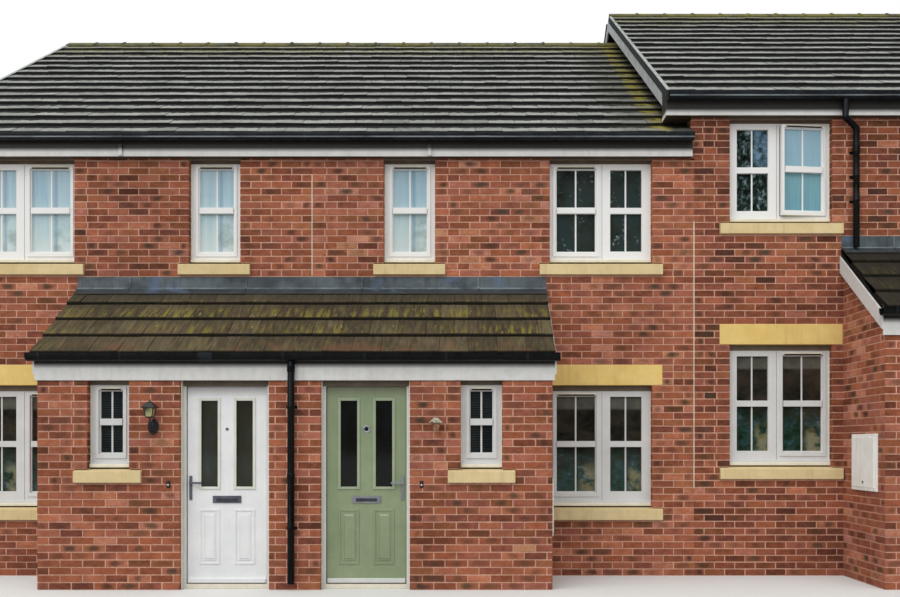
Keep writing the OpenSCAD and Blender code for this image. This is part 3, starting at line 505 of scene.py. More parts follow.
HOUSE_ENDS = {("left", -1): (LEFT_END, LEFT_MID), ("left", 1): (LEFT_MID, STEP_JOINT_X),
              ("right", -1): (STEP_X, RIGHT_MID), ("right", 1): (RIGHT_MID, RIGHT_END)}
walls = {f"{face}_bricks_{pair}": Brickwork() for pair in PAIRS for face in ("front", "rear")}
for pair, side, mid, width, ground in HOUSES:
    front, rear = walls[f"front_bricks_{pair}"], walls[f"rear_bricks_{pair}"]
    shade = SHADES[pair, side]
    x0, x1 = HOUSE_ENDS[pair, side]
    wide, narrow, low = holes = windows_of(mid, side, width, ground)
    beds = [widen(hole, STONE_LAP, hole[2] - SILL_H, hole[2]) for hole in holes]
    beds.append(widen(low, STONE_LAP, low[3], ground + LINTEL_TOP_Z))
    beds += [widen(hole, 0, hole[3] - COURSE, hole[3] + COURSE) for hole in (wide, narrow)]
    porch = sorted((mid, mid + side * PORCH_HALF_W))
    joints = [(*porch, -1, ground + PORCH_TOP_Z)]
    joints += [(x - SEAL_W / 2, x + SEAL_W / 2, foot, head) for x, foot, head in (STEP_JOINT, PARTY_JOINT)]
    if pair == "right":
        joints.append((STEP_X - 1, STEP_JOINT_X, -1, SOFFIT_Z))
    front.lay(0, (0, -HALF_DEPTH, 0), x0, x1, 0, ground + SOFFIT_Z, [*holes, *beds, *joints], shade,
              bond=LEFT_MID if (pair, side) == ("left", -1) else STEP_JOINT_X)
    front.line_jambs(holes, -HALF_DEPTH, 1, shade)
    door = doorway(mid, side, REAR_DOOR_CX, ground)
    beds.append(widen(door, STONE_LAP, door[3], ground + LINTEL_TOP_Z))
    swapped = [(-hole[1], -hole[0], hole[2], hole[3]) for hole in [*holes, door, *beds]]
    rear_end = min(x1, STEP_X) if pair == "left" else x1
    rear.lay(math.pi, (0, HALF_DEPTH, 0), -rear_end, -x0, 0, ground + SOFFIT_Z, swapped,
             REAR_SHADE, bond=-STEP_X)
    rear.line_jambs((*holes, door), HALF_DEPTH, -1, REAR_SHADE)
for name, made in walls.items():
    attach(piece(name, made.bm, brick), "houses")

porches = Brickwork()
for mid, width, ground in PAIRS.values():
    holes = []
    for side in (-1, 1):
        pierced = doorway(mid, side, DOOR_CX, ground), porch_window(mid, side, ground)
        holes += [*pierced, widen(pierced[1], PORCH_LAP, pierced[1][2] - SILL_H, pierced[1][2])]
        porches.line_jambs(pierced, PORCH_Y, 1, PORCH_SHADE)
        span = sorted((0, side * PORCH_OUT))
        porches.lay(QUARTER * side, (mid + side * PORCH_HALF_W, PORCH_Y, 0), *span, 0, ground + PORCH_SIDE_TOP,
                    shade=PORCH_SIDE_LIT_TONE, bond=BRICK_L / 2,
                    planes=[((0, ground + PORCH_WALL_Z), (-PORCH_SLOPE * side, 1))])
    porches.lay(0, (0, PORCH_Y, 0), mid - PORCH_HALF_W - BRICK_PROUD, mid + PORCH_HALF_W + BRICK_PROUD,
                0, ground + GROUND_HEAD_Z, holes, PORCH_SHADE)
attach(piece("porch_bricks", porches.bm, brick), "houses")

for name, x, turn, foot, plate_z, bond in (
        ("gable_bricks_left", LEFT_END, -QUARTER, 0, PLATE_Z, HALF_DEPTH - BRICK_L / 2),
        ("gable_bricks_right", RIGHT_END, QUARTER, 0, STEP_UP + PLATE_Z, HALF_DEPTH - BRICK_L / 2),
        ("step_gable_bricks", STEP_X, -QUARTER, SOFFIT_Z, STEP_UP + PLATE_Z, None)):
    gable = Brickwork()
    gable.lay(turn, (x, 0, 0), -HALF_DEPTH, HALF_DEPTH, foot, plate_z + HALF_DEPTH * ROOF_SLOPE,
              shade=REAR_SHADE, bond=bond, planes=roof_cuts(plate_z))
    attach(piece(name, gable.bm, brick), "houses")


# Movement joints
# Upright expansion joints in the brickwork where the row steps and between the
# left-hand houses, filled with a pale buff sealant that has dulled unevenly.
def block(bm, low, high, arris=0.002, matrix=None):
    """Box between two opposite corners with rounded arrises, then placed."""
    low, high = map(Vector, zip(*map(sorted, zip(low, high))))
    size = high - low
    part = bmesh.new()
    bmesh.ops.create_cube(part, size=1)
    bmesh.ops.transform(part, verts=part.verts,
                        matrix=Matrix.Translation((high + low) / 2) @ Matrix.Diagonal((*size, 1)))
    bmesh.ops.bevel(part, geom=list(part.edges), offset=min(arris, min(size) * 0.45), segments=2,
                    profile=0.5, affect="EDGES", material=-1)
    pour(bm, part, matrix)


def close(name, bm, finish, body="houses"):
    """Piece of closed parts with every face turned outwards, on its body."""
    bmesh.ops.recalc_face_normals(bm, faces=bm.faces)
    made = piece(name, bm, finish)
    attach(made, body)
    return made


sealant = mottled("buff_sealant", 0.6, 0.3, (30, 5, 0.6, (1, 1, 0.2)),
                  {0.3: (206, 194, 168), 0.7: (232, 222, 200)}, 60, 0.001, dirt=0.25)
bm = bmesh.new()
for x, foot, head in (STEP_JOINT, PARTY_JOINT):
    block(bm, (x - SEAL_W / 2, -HALF_DEPTH - 0.002, foot), (x + SEAL_W / 2, -HALF_DEPTH + 0.01, head), 0.001)
close("movement_joints", bm, sealant)


# Stone sills and lintels
# Cast buff stone, a sloping sill under each window and a flat lintel over each
# ground-floor opening, bedded in mortar. Rain has drawn darker streaks on it.
STONE_ARRIS = 0.005


def softened(name, node, arris, material, body="houses"):
    """Copy of a CAD node with rounded arrises, which replaces the node."""
    bm = bmesh.new()
    bm.from_mesh(nodes[node].data)
    bmesh.ops.transform(bm, verts=bm.verts, matrix=nodes[node].matrix_world)
    bmesh.ops.remove_doubles(bm, verts=bm.verts, dist=WELD)
    bmesh.ops.dissolve_limit(bm, angle_limit=math.radians(1), verts=bm.verts, edges=bm.edges)
    sharp = [edge for edge in bm.edges
             if len(edge.link_faces) == 2 and edge.calc_face_angle(0) > math.radians(30)]
    bmesh.ops.bevel(bm, geom=sharp, offset=arris, segments=2, profile=0.5, affect="EDGES",
                    clamp_overlap=True, material=-1)
    made = piece(name, bm, material)
    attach(made, body)
    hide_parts(node)


def cast_stone(name, deep, pale, streak):
    """Cast stone with a fine sandy grain and faint rain streaks."""
    stone = Finish(name, 0.85, 0.25)
    grain = stone.noise(3, 3) * 0.6 + stone.noise(90, 4) * 0.4
    colour = stain(grain.ramp({0.35: deep, 0.65: pale}), streak, 0.25)
    return stone.paint(grime(colour, 0.12), 150, 0.0015, 0.4)


softened("sill_stones", "stone_sills", STONE_ARRIS,
         cast_stone("sill_stone", (214, 190, 138), (226, 206, 158), (152, 130, 86)))
softened("lintel_stones", "stone_lintels", STONE_ARRIS,
         cast_stone("lintel_stone", (228, 193, 111), (238, 208, 132), (160, 133, 76)))


# Roof tiles
# Flat interlocking concrete tiles, 295 mm to the joint, hung in courses on
# battens. Their tops have weathered pale, and their thick feet are black with
# soot and lichen. The parts under each lap are black with soot and painted
# shade from the course above.
TILE_W = 0.295
TILE_JOINT = 0.004
TILE_UP = 0.003
TILE_LIFT = 0.005
TILE_T = 0.036
TILE_TAIL = 0.006
TILE_LAP = 0.02
TILE_LEAN = 0.0025
TILE_SLIP = 0.004
TILE_BED = 0.004
NARROWEST = 0.03
EAVES_OVER = 0.13
VERGE_OVER = 0.27
MAIN_BED_Z = PLATE_Z + 0.165 - EAVES_OVER * ROOF_SLOPE
MAIN_RUN = HALF_DEPTH + EAVES_OVER
MAIN_COURSES = 15
PORCH_OVER = 0.115
PORCH_BED_Z = 2.321
PORCH_VERGE = 0.027
PORCH_RUN = PORCH_OUT + PORCH_OVER
PORCH_COURSES = 4
ROOFS = {"left": (LEFT_END - VERGE_OVER, STEP_X, 0.0),
         "right": (STEP_X - VERGE_OVER, RIGHT_END + VERGE_OVER, STEP_UP)}


def tile_slope(name, x0, x1, foot_y, run, courses, slope, bed_z, facing, finish):
    """Tiles of one slope over its battens, from x0 to x1, foot at foot_y."""
    step = run / courses
    rise = step * slope
    fall = (rise - TILE_T + TILE_TAIL) / step
    count = round((x1 - x0) / TILE_W)
    pitch = (x1 - x0) / count
    bm = bmesh.new()
    tone = bm.faces.layers.float.new("tone")
    foot = bm.faces.layers.float.new("foot")
    for i in range(courses):
        y0 = i * step - TILE_UP
        y1 = (i + 1) * step + TILE_LAP
        z0 = i * rise + TILE_BED
        start = x0 + (i % 2) * pitch / 2
        for j in range(-1 if i % 2 else 0, count):
            left = max(x0, start + j * pitch + TILE_JOINT / 2)
            right = min(x1, start + (j + 1) * pitch - TILE_JOINT / 2)
            if right - left < NARROWEST:
                continue
            lean = random.uniform(-TILE_LEAN, TILE_LEAN)
            edge = y0 + random.uniform(-TILE_SLIP, TILE_SLIP)
            top = i * rise + TILE_T + TILE_LIFT + random.uniform(0, 0.004)
            tail = (i + 1) * rise + TILE_TAIL + TILE_LIFT + TILE_LAP * fall
            section = [(edge, z0), (edge, top - 0.008), (edge + 0.008, top + 0.005 * fall), (y1, tail),
                       (y1, tail - 0.014), (y0 + 0.05, z0)]
            ends = [[bm.verts.new((x, foot_y + facing * y, bed_z + z + (up if k < 3 else 0)))
                     for k, (y, z) in enumerate(section)] for x, up in ((left, lean), (right, -lean))]
            value = random.gauss(0.5, 0.13)
            parts = [bm.faces.new(ends[0]), bm.faces.new(list(reversed(ends[1])))]
            for k in range(len(section)):
                n = (k + 1) % len(section)
                side = bm.faces.new([ends[0][k], ends[1][k], ends[1][n], ends[0][n]])
                side[foot] = {1: 0.3, 2: 1.0}.get(k, 0.0)
                parts.append(side)
            for face in parts:
                face[tone] = value
    close(name, bm, finish)


class TileFinish(Finish):
    """Concrete tile: pale weathered top, its foot black with soot, its lapped head black with soot and painted shade.
    """

    def __init__(self, name, tops, ridge_y, run, courses, pale_share, drag=None):
        super().__init__(name, 0.9, 0.2)
        self.x, self.y, tone = self.place.part(0), self.place.part(1), self.attribute("tone")
        self.up = (run - (self.y.math("ABSOLUTE") - ridge_y)) * (courses / run)
        self.depth = self.up.math("FRACT")
        shifted = {0: self.x + self.up.math("FLOOR") * 3.7, 1: self.y}
        self.chart = self.flow("ShaderNodeCombineXYZ", shifted)
        grain = self.noise(26, 6, 0.7, drag, at=self.chart if drag else None)
        self.mixed = grain * 0.7 + tone * 0.3 + self.noise(1.3) * 0.4
        ragged = (self.noise(13, 5, 0.75) - 0.3) * 0.85 + tone * 0.16
        # Each tile's head, under the next course's lap, is painted black for soot and as painted shade, less so on the
        # rear slopes.
        black = (self.depth + ragged).ramp({pale_share: 0, pale_share + 0.12: 1}) * self.y.ramp({0: 1, 0.001: 0.6})
        self.colour = self.mixed.ramp(dict(zip((0.45, 0.68, 0.9), tops))).blend(black, (22, 23, 19))

    def soil(self, *layers):
        """Covers the tile with (mask, colour) layers in turn."""
        for mask, colour in layers:
            self.colour = self.colour.blend(mask, colour)

    def finished(self, low, high):
        """Material with the feet blackened."""
        dark = self.mixed.ramp({0.45: low, 0.9: high})
        return self.paint(dark.blend(self.attribute("foot"), self.colour), 90, 0.003)


dress(mottled("tile_bed", 0.95, 0.1, (12,), {0.3: (14, 14, 12), 0.7: (34, 34, 30)}, 80, 0.002),
      "roof_front_left", "roof_rear_left", "roof_front_right", "roof_rear_right", "porch_roofs")

for pair, (x0, x1, ground) in ROOFS.items():
    tile = TileFinish(f"roof_tile_{pair}", ((98, 99, 94), (138, 139, 133), (170, 171, 165)),
                      0.0, MAIN_RUN, MAIN_COURSES, 0.74)
    front = tile.y.ramp({0: 1, 0.001: 0})
    mossy = tile.noise(9, 6, 0.7).ramp({0.42: 0, 0.56: 1})
    if pair == "left":
        # Next to the step, the tiles under the verge overhang are darker, for damp and as painted shade; moss runs
        # along the drip line, and tiles further out are darker too.
        tile.soil((front * tile.x.band(-0.40, 0.2, 0.04) * 0.8, (44, 42, 34)),
                  (front * tile.x.band(-0.95, -0.4, 0.12) * 0.45, (62, 60, 44)),
                  (front * tile.x.band(-0.56, -0.37, 0.05) * mossy, (138, 126, 38)))
    top_rows = tile.up.band(MAIN_COURSES - 2.2, MAIN_COURSES + 1, 0.5)
    tile.soil((front * top_rows * mossy * 0.6, (122, 116, 62)))
    roof_tile = tile.finished((8, 8, 6), (24, 24, 20))
    for face, side in (("front", 1), ("rear", -1)):
        tile_slope(f"roof_tiles_{face}_{pair}", x0, x1, -side * MAIN_RUN, MAIN_RUN,
                   MAIN_COURSES, ROOF_SLOPE, ground + MAIN_BED_Z, side, roof_tile)

tile = TileFinish("porch_tile", ((38, 33, 25), (68, 59, 44), (102, 91, 70)),
                  HALF_DEPTH, PORCH_RUN, PORCH_COURSES, 1.04, (1, 0.14, 1))
share = tile.up / PORCH_COURSES
rows = share.ramp({0: 0.35, 0.22: 0.4, 0.27: 1, 0.73: 1, 0.78: 0.35, 1: 0.2})
foot = tile.depth.ramp({0: 1, 0.5: 0.85, 0.8: 0.15})
streaks = tile.noise(21, 5, 0.7, (1, 0.12, 1), at=tile.chart).ramp({0.47: 0, 0.6: 1})
patches = tile.noise(1.5, 3).ramp({0.4: 0.25, 0.6: 1})
spots = tile.noise(34, 3, 0.6, (1, 0.2, 1), at=tile.chart).ramp({0.63: 0, 0.7: 0.8})
rusty = tile.noise(2.4, 3).ramp({0.5: 0, 0.62: 0.6}) * tile.up.ramp({0: 1, 0.95: 1, 1: 0.25})
# The top course under the lead is darker, and the last layer darkens the right-hand porch roof as painted shade.
tile.soil((streaks * patches * rows * foot, (120, 110, 44)),
          (spots * rows * foot, (156, 148, 92)),
          (rusty * foot, (104, 70, 52)),
          (share.ramp({0.74: 0, 0.8: 0.5, 1: 0.7}), (58, 54, 46)),
          (tile.x.ramp({0: 0, 1: 0.78}), (30, 26, 20)))
porch_tile = tile.finished((12, 9, 4), (30, 24, 12))
for pair, (mid, width, ground) in PAIRS.items():
    reach = PORCH_HALF_W + PORCH_VERGE
    tile_slope(f"porch_tiles_{pair}", mid - reach, mid + reach, PORCH_Y - PORCH_OVER, PORCH_RUN,
               PORCH_COURSES, PORCH_SLOPE, ground + PORCH_BED_Z, 1, porch_tile)


# Ridge
# Angled concrete ridge tiles, 450 mm long, bedded and pointed in mortar over
# the top courses. Dark olive algae covers the tiles and the pointing.
RIDGE_TILE_L = 0.45
RIDGE_LAP = 0.13
RIDGE_TURN = math.radians(33.5)
POINTING_W = 0.044

algae = Finish("ridge_tile", 0.92, 0.2)
colour = algae.noise(8, 6, 0.7).ramp({0.3: (44, 44, 34), 0.5: (78, 78, 60), 0.72: (112, 112, 94)})
green = algae.noise(2.4, 5).ramp({0.42: 0, 0.56: 0.8}) * algae.place.part(0).ramp({0: 0.7, 0.1: 1})
ridge = algae.paint(colour.blend(green, (120, 114, 54)), 60, 0.004, 0.6)
softened("ridge_run", "ridge_tiles", 0.004, ridge)

squeezed = bmesh.new()
for x0, x1, ground in ROOFS.values():
    top_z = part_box("ridge_tiles")[1][2] - STEP_UP + ground
    count = math.ceil((x1 - x0) / RIDGE_TILE_L)
    for k in range(1, count):
        x = x0 + k * (x1 - x0) / count
        for face in (-1, 1):
            block(squeezed, (x - POINTING_W / 2, 0, -0.012),
                  (x + POINTING_W / 2, face * RIDGE_LAP, random.uniform(0.008, 0.014)), 0.006,
                  Matrix.Translation((0, 0, top_z)) @ Matrix.Rotation(-face * RIDGE_TURN, 4, "X"))
close("ridge_pointing", squeezed, ridge)


# Verges and boards
# Grey plastic caps clip over the tile ends above white plastic bargeboards.
# White fascias and soffits close the eaves, in boards with trims at the joins.
PORCH_FASCIA_Z = (2.085, 2.318)
EAVES_FASCIA_Z = (SOFFIT_Z + 0.004, SOFFIT_Z + 0.13)
EAVES_JOINS = ((LEFT_END + 2.1, 0), (LEFT_MID + 1.3, 0), (RIGHT_MID - 1.6, STEP_UP), (RIGHT_MID + 2.2, STEP_UP))


def faced(tree, way):
    """1 on faces that look up, or down where way is -1, and 0 on upright ones."""
    normal = tree.flow("ShaderNodeNewGeometry", {}, "Normal")
    return (normal.part(2) * way).ramp({0.35: 0, 0.6: 1})


# The caps' upright faces are near black, partly dirt and partly painted shade, and their upward faces are pale grey as
# painted light.
verge = Finish("verge_cap", 0.75, 0.3)
worn = verge.noise(10, 6, 0.7)
colour = worn.ramp({0.3: (26, 28, 27), 0.7: (54, 57, 54)})
colour = colour.blend(faced(verge, 1), worn.ramp({0.3: (120, 124, 120), 0.7: (176, 180, 176)}))
verge_grey = verge.paint(colour, 70, 0.001)
softened("verge_caps_at_front", "verge_caps_front", 0.003, verge_grey)
softened("verge_caps_at_rear", "verge_caps_rear", 0.003, verge_grey)


def board_finish(name, lit_top=None, shadowed_top=None, right_drop=0.0, low=(212, 211, 207), high=(226, 225, 221)):
    """White plastic board; under a gutter its top darkens as the gutter's painted shadow, and its downward faces are
    painted brown as painted shade.
    """
    board = Finish(name, 0.42, 0.4)
    shade = stain(board.noise(9, 6, 0.75).ramp({0.3: low, 0.7: high}), (176, 172, 158), 0.2)
    shade = grime(shade, 0.1)
    if lit_top:
        z = board.place.part(2)
        raised = (z - (lit_top + STEP_UP - 0.2)).ramp({0: 0, 0.001: STEP_UP - right_drop})
        # Painted shadow of the gutter over the board's top, and painted shade on its undersides.
        dim = ((z - raised - lit_top) / (shadowed_top - lit_top)).ramp({0: 0, 0.5: 0.55, 1: 1})
        shade = shade.blend(dim, (44, 42, 37)).blend(faced(board, -1), (84, 72, 58))
    return board.paint(shade, 30, 0.0004, 0.3)


board = board_finish("white_board")
# The bargeboards are painted grey, partly for dirt and partly as painted shade.
verge_board = board_finish("dirty_shaded_board", low=(142, 145, 148), high=(206, 208, 208))
eaves_board = board_finish("eaves_board", 4.648, 4.692, 0.022)
porch_board = board_finish("porch_board", 2.2, 2.25)
for name, node, finish in (("bargeboards_at_front", "bargeboards_front", verge_board),
                           ("bargeboards_at_rear", "bargeboards_rear", verge_board),
                           ("porch_barges", "porch_bargeboards", board),
                           ("porch_fascia_boards", "porch_fascias", porch_board),
                           ("eaves_casing", "eaves_boards", eaves_board)):
    softened(name, node, 0.002, finish)

trims, eaves_trims = bmesh.new(), bmesh.new()
for mid, width, ground in PAIRS.values():
    for x in (mid - 1.84, mid + 1.62):
        block(trims, (x - 0.022, PORCH_Y - 0.024, ground + PORCH_FASCIA_Z[0]),
              (x + 0.022, PORCH_Y - 0.018, ground + PORCH_FASCIA_Z[1]), 0.0015)
for face in (-1, 1):
    for x, ground in EAVES_JOINS:
        block(eaves_trims, (x - 0.02, face * (HALF_DEPTH + 0.103), ground + EAVES_FASCIA_Z[0]),
              (x + 0.02, face * (HALF_DEPTH + 0.096), ground + EAVES_FASCIA_Z[1]), 0.0015)
close("fascia_trims", trims, porch_board)
close("eaves_trims", eaves_trims, eaves_board)


# Lead flashings
# Code 4 lead dressed over the top course of the porch tiles and up the wall
# into the brickwork, in lengths with folded laps, dull blue-grey with patina.
LEAD_T = 0.006
LEAD_LEN = 1.28
LEAD_OUT = 0.118
LEAD_TOP = 3.29

lead = Finish("lead", 0.5)
colour = lead.noise(5, 6).ramp({0.3: (28, 33, 38), 0.5: (45, 52, 58), 0.7: (70, 79, 86)})
wall_y = lead.place.part(1) + HALF_DEPTH
# A pale line along the bend is a painted highlight.
fold_highlight = wall_y.band(-0.034, -0.008, 0.01) * lead.noise(3, 3).ramp({0.4: 0.2, 0.6: 0.9})
bloom = lead.noise(1.7, 3).ramp({0.54: 0, 0.6: 1}) * 0.7
apron = (wall_y * -8).ramp({0.35: 0, 0.95: 0.8})
colour = colour.blend(fold_highlight, (128, 142, 146)).blend(bloom, (84, 104, 130)).blend(apron, (52, 53, 50))
dull_lead = lead.paint(stain(colour, (40, 42, 40), 0.5), lead.noise(7, 4, 0.6), 0.012, 0.7)
dress(dull_lead, "porch_flashings")

laps = bmesh.new()
for mid, width, ground in PAIRS.values():
    wall_z = ground + PORCH_BED_Z + PORCH_RUN * PORCH_SLOPE + TILE_T
    foot_z = ground + PORCH_BED_Z + (PORCH_RUN - LEAD_OUT) * PORCH_SLOPE + TILE_T
    bend = (-HALF_DEPTH - LEAD_T, wall_z)
    x = mid - PORCH_HALF_W + 0.55
    while x < mid + PORCH_HALF_W - 0.3:
        for a, b in (((-HALF_DEPTH - LEAD_OUT, foot_z + LEAD_T), bend), (bend, (bend[0], ground + LEAD_TOP))):
            along = Vector((0, b[0] - a[0], b[1] - a[1]))
            block(laps, (-0.011, 0, -0.004), (0.011, along.length, 0.007), 0.004,
                  Matrix.Translation((x, *a)) @ Matrix.Rotation(math.atan2(along.z, along.y), 4, "X"))
        x += LEAD_LEN
close("lead_laps", laps, dull_lead)


# Rainwater goods
# Black plastic half-round gutters on brackets, joined by unions, and round
# downpipes with collars and clips. Weather has dulled their gloss in patches.
GUTTER_R = 0.056
GUTTER_LIP = 0.022
FASCIA_OUT = 0.08
PORCH_FASCIA_OUT = 0.02
MAIN_RIM_Z = MAIN_BED_Z + 0.015
PORCH_RIM_Z = PORCH_BED_Z + 0.024
BRACKET_STEP = 0.8
BRACKET, UNION = (0.012, 0.003), (0.07, 0.0045)
PIPE_R = 0.034
COLLAR = [(0, 0), (PIPE_R + 0.002, 0), (PIPE_R + 0.005, 0.003), (PIPE_R + 0.005, 0.055),
          (PIPE_R + 0.002, 0.06), (0, 0.06)]


def plastic(name, line=None):
    """Black plastic; gutters carry a pale line at two heights, a painted highlight."""
    black = Finish(name, 0.35, 0.2)
    tones = ((18, 21, 23), (38, 44, 48)) if line else ((6, 7, 8), (16, 18, 19))
    colour = stain(black.noise(6, 6, 0.7).ramp(dict(zip((0.35, 0.7), tones))), (28, 30, 27), 0.3)
    if line:
        # The pale line round the gutters is a painted highlight of the sky.
        z = black.place.part(2)
        worn = (z.band(line - 0.004, line + 0.004, 0.005)
                + z.band(line + STEP_UP - 0.004, line + STEP_UP + 0.004, 0.005))
        colour = colour.blend(worn * black.noise(1.2, 4).ramp({0.38: 0.35, 0.6: 1}), (186, 194, 198))
    black.feed("Roughness", black.noise(9).ramp({0.35: 0.22, 0.65: 0.45}))
    return black.paint(colour)


black_plastic = plastic("black_plastic")
gutter_plastic = plastic("gutter_plastic", MAIN_RIM_Z - 0.05)
dress(gutter_plastic, "gutters")
dress(plastic("porch_gutter_plastic"), "porch_gutters")
softened("downpipe_runs", "downpipes", 0.002, black_plastic)


def gutter_band(bm, x, y, rim, facing, half, proud):
    """Strap of a half width round the outside of a gutter whose back is at y."""
    outline = [(0.0, 0.0), (0.0, -GUTTER_LIP)]
    for k in range(1, 12):
        turn = math.pi * k / 12
        outline.append((GUTTER_R * (1 - math.cos(turn)), -GUTTER_LIP - GUTTER_R * math.sin(turn)))
    outline += [(2 * GUTTER_R, -GUTTER_LIP), (2 * GUTTER_R, 0.0)]
    middle = Vector((GUTTER_R, -GUTTER_LIP))
    part = bmesh.new()
    rings = []
    for end in (x - half, x + half):
        for grown in (0, proud):
            ring = []
            for out, up in outline:
                away = (Vector((out, min(up, -GUTTER_LIP))) - middle).normalized() * grown
                ring.append(part.verts.new((end, y - facing * (out + away.x), rim + up + away.y)))
            rings.append(ring)
    in0, out0, in1, out1 = rings
    last = len(outline) - 1
    for k in range(last):
        for a, b in ((out0, out1), (in1, in0), (in0, out0), (out1, in1)):
            part.faces.new((a[k], a[k + 1], b[k + 1], b[k]))
    for k in (0, last):
        part.faces.new((in0[k], out0[k], out1[k], in1[k]))
    pour(bm, part)


bands = bmesh.new()
for pair, (mid, width, ground) in PAIRS.items():
    back, rim = PORCH_Y - PORCH_FASCIA_OUT, ground + PORCH_RIM_Z
    x = mid - PORCH_HALF_W + 0.06
    while x < mid + PORCH_HALF_W:
        gutter_band(bands, x, back, rim, 1, *BRACKET)
        x += BRACKET_STEP
    gutter_band(bands, mid - 0.86, back, rim, 1, *UNION)
    start = mid - width
    for facing in (1, -1):
        back, rim = -facing * (HALF_DEPTH + FASCIA_OUT), ground + MAIN_RIM_Z
        x = start + 0.25
        while x < start + 2 * width:
            gutter_band(bands, x, back, rim, facing, *BRACKET)
            x += BRACKET_STEP
        for x in (start + 0.5 * width, start + 1.45 * width):
            gutter_band(bands, x, back, rim, facing, *UNION)
close("gutter_bands", bands, gutter_plastic)


def turned(bm, profile, matrix, steps=24):
    """Turned solid from (radius, height) pairs that begin and end on the axis."""
    part = bmesh.new()
    verts = [part.verts.new((r, 0, z)) for r, z in profile]
    edges = [part.edges.new(pair) for pair in zip(verts, verts[1:])]
    bmesh.ops.spin(part, geom=verts + edges, cent=(0, 0, 0), axis=(0, 0, 1), angle=2 * math.pi,
                   steps=steps, use_merge=True)
    bmesh.ops.remove_doubles(part, verts=part.verts, dist=WELD)
    pour(bm, part, matrix)


collars = bmesh.new()
for mid, width, ground in PAIRS.values():
    for z in (1.1, 2.16):
        turned(collars, COLLAR, Matrix.Translation((mid - 0.028, PORCH_Y - 0.06, ground + z)))
turned(collars, COLLAR, Matrix.Translation((RIGHT_MID - 2.44, -HALF_DEPTH - 0.06, STEP_UP + 4.22)))
close("pipe_collars", collars, black_plastic)


# Windows
# White plastic casements with sealed glass, set 80 mm back on a bed of cream
# sealant. A white bar runs up each pane, and each sash has a vent under a hood.
FRAME_FACE = 0.046
NARROW_SIDE = 0.012
MULLION_FACE = 0.068
MULLION_SHIFT = 0.023
SASH_FACE = 0.042
FIXED_FACE = 0.058
FOOT_FACE = 0.058
HEAD_FACE = 0.018
RAIL_H = 0.066
SASH_PROUD = 0.012
FRAME_D = 0.07
BAR_W = 0.018
PANE_T = 0.001
BEAD_W = 0.011
SUB_SILL = (0.0155, 0.048)
AJAR = math.radians(6)
HINGE_IN = 0.003
UPPER_CILL, UPPER_BOARD = 0.038, 0.042
GROUND_CILL, PORCH_CILL, GROUND_BOARD = 0.072, 0.061, 0.062

plastic_white = Finish("window_white", 0.35, 0.4)
shade = plastic_white.noise(2.5, 5, 0.6).ramp({0.3: (212, 212, 209), 0.7: (223, 223, 221)})
# Frames higher up the wall, from about 3 m, are painted paler as painted light.
upstairs_painted_light = (plastic_white.place.part(2) - 2.7).ramp({0.2: 0, 0.6: 0.72})
shade = grime(stain(shade, (200, 197, 184), 0.15), 0.07).blend(upstairs_painted_light, (247, 246, 243))
white = plastic_white.paint(shade, 30, 0.0003, 0.3)
softened("upper_casements", "upper_windows", 0.0025, white)
softened("ground_casements", "ground_windows", 0.0025, white)
softened("porch_casements", "porch_windows", 0.0025, white)
cream = mottled("cream_trim", 0.45, 0.4, (12,), {0.3: (222, 214, 190), 0.7: (236, 230, 212)}, 60, 0.0003)
shadow = mottled("dark_gap", 0.9, 0.1, (9,), {0.3: (34, 32, 26), 0.7: (62, 58, 46)})
olive = mottled("head_board", 0.6, 0.3, (8,), {0.3: (98, 86, 72), 0.7: (120, 108, 92)}, 50, 0.0006)
dress(mottled("window_glass", 0.04, 0.6, (2,), {0.3: (18, 22, 22), 0.7: (34, 38, 38)}),
      "window_glass_upper", "window_glass_lower", "white_door_glass", "green_door_glass", "fixed_door_glass")


# Each pane carries a painted picture of the room behind it and of what it mirrors, with painted reflections of trees,
# bushes and sky.
class Pane(Finish):
    """Finish of a pane, charted 0 to 1 across and up one light."""

    def __init__(self, name):
        super().__init__(name, 0.05, 0.35)
        chart = self.flow("ShaderNodeUVMap", {}, uv_map="pane")
        self.across, self.above = chart.part(0), chart.part(1)


net = Pane("pane_net_curtain")
# Net curtains, bluer towards the top as a painted reflection of sky, with a painted reflection of the garden low on
# one side.
colour = (net.above + net.noise(2.2, 3) * 0.5).ramp({0.3: (196, 212, 210), 0.6: (172, 200, 204),
                                                     0.95: (150, 184, 200)})
folds = net.noise(16, 4, 0.6, (1, 1, 0.05), 0.4).ramp({0.35: 0, 0.65: 0.35})
colour = colour.blend(folds, (214, 224, 222)).blend(net.across.band(0.56, 0.66, 0.03) * 0.6, (116, 148, 172))
garden_reflection = (net.across.band(0.53, 1.2, 0.02) * net.above.band(-0.2, 0.42, 0.08)
          * net.noise(6, 4, 0.6).ramp({0.42: 0, 0.62: 0.45}))
pane_net = net.paint(colour.blend(garden_reflection, (92, 112, 104)))

dark = Pane("pane_dark_room")
# A dark room with painted reflections of leaves.
colour = dark.noise(3, 4, 0.6).ramp({0.3: (31, 35, 32), 0.5: (48, 56, 52), 0.65: (44, 60, 60), 0.8: (72, 72, 64)})
leaf_reflections = dark.noise(24, 4, 0.7).ramp({0.57: 0, 0.68: 0.8}) * dark.noise(5.5, 2).ramp({0.52: 0, 0.62: 1})
pane_dark = dark.paint(colour.blend(leaf_reflections, (158, 174, 182)))

tree = Pane("pane_tree_and_sky_reflection")
# A painted reflection of a tree, with sky showing through it high on one side.
colour = tree.noise(18, 6, 0.75, (1, 1, 0.8), 0.3).ramp({0.4: (16, 20, 18), 0.52: (34, 48, 44),
                                                         0.6: (96, 114, 116), 0.68: (156, 172, 186)})
blue = (tree.across.band(0.56, 1.2, 0.1) * tree.above.band(0.55, 1.2, 0.12)
        * tree.noise(12, 5, 0.7).ramp({0.42: 0.1, 0.58: 0.9}))
pane_tree = tree.paint(colour.blend(blue, (106, 138, 162)))

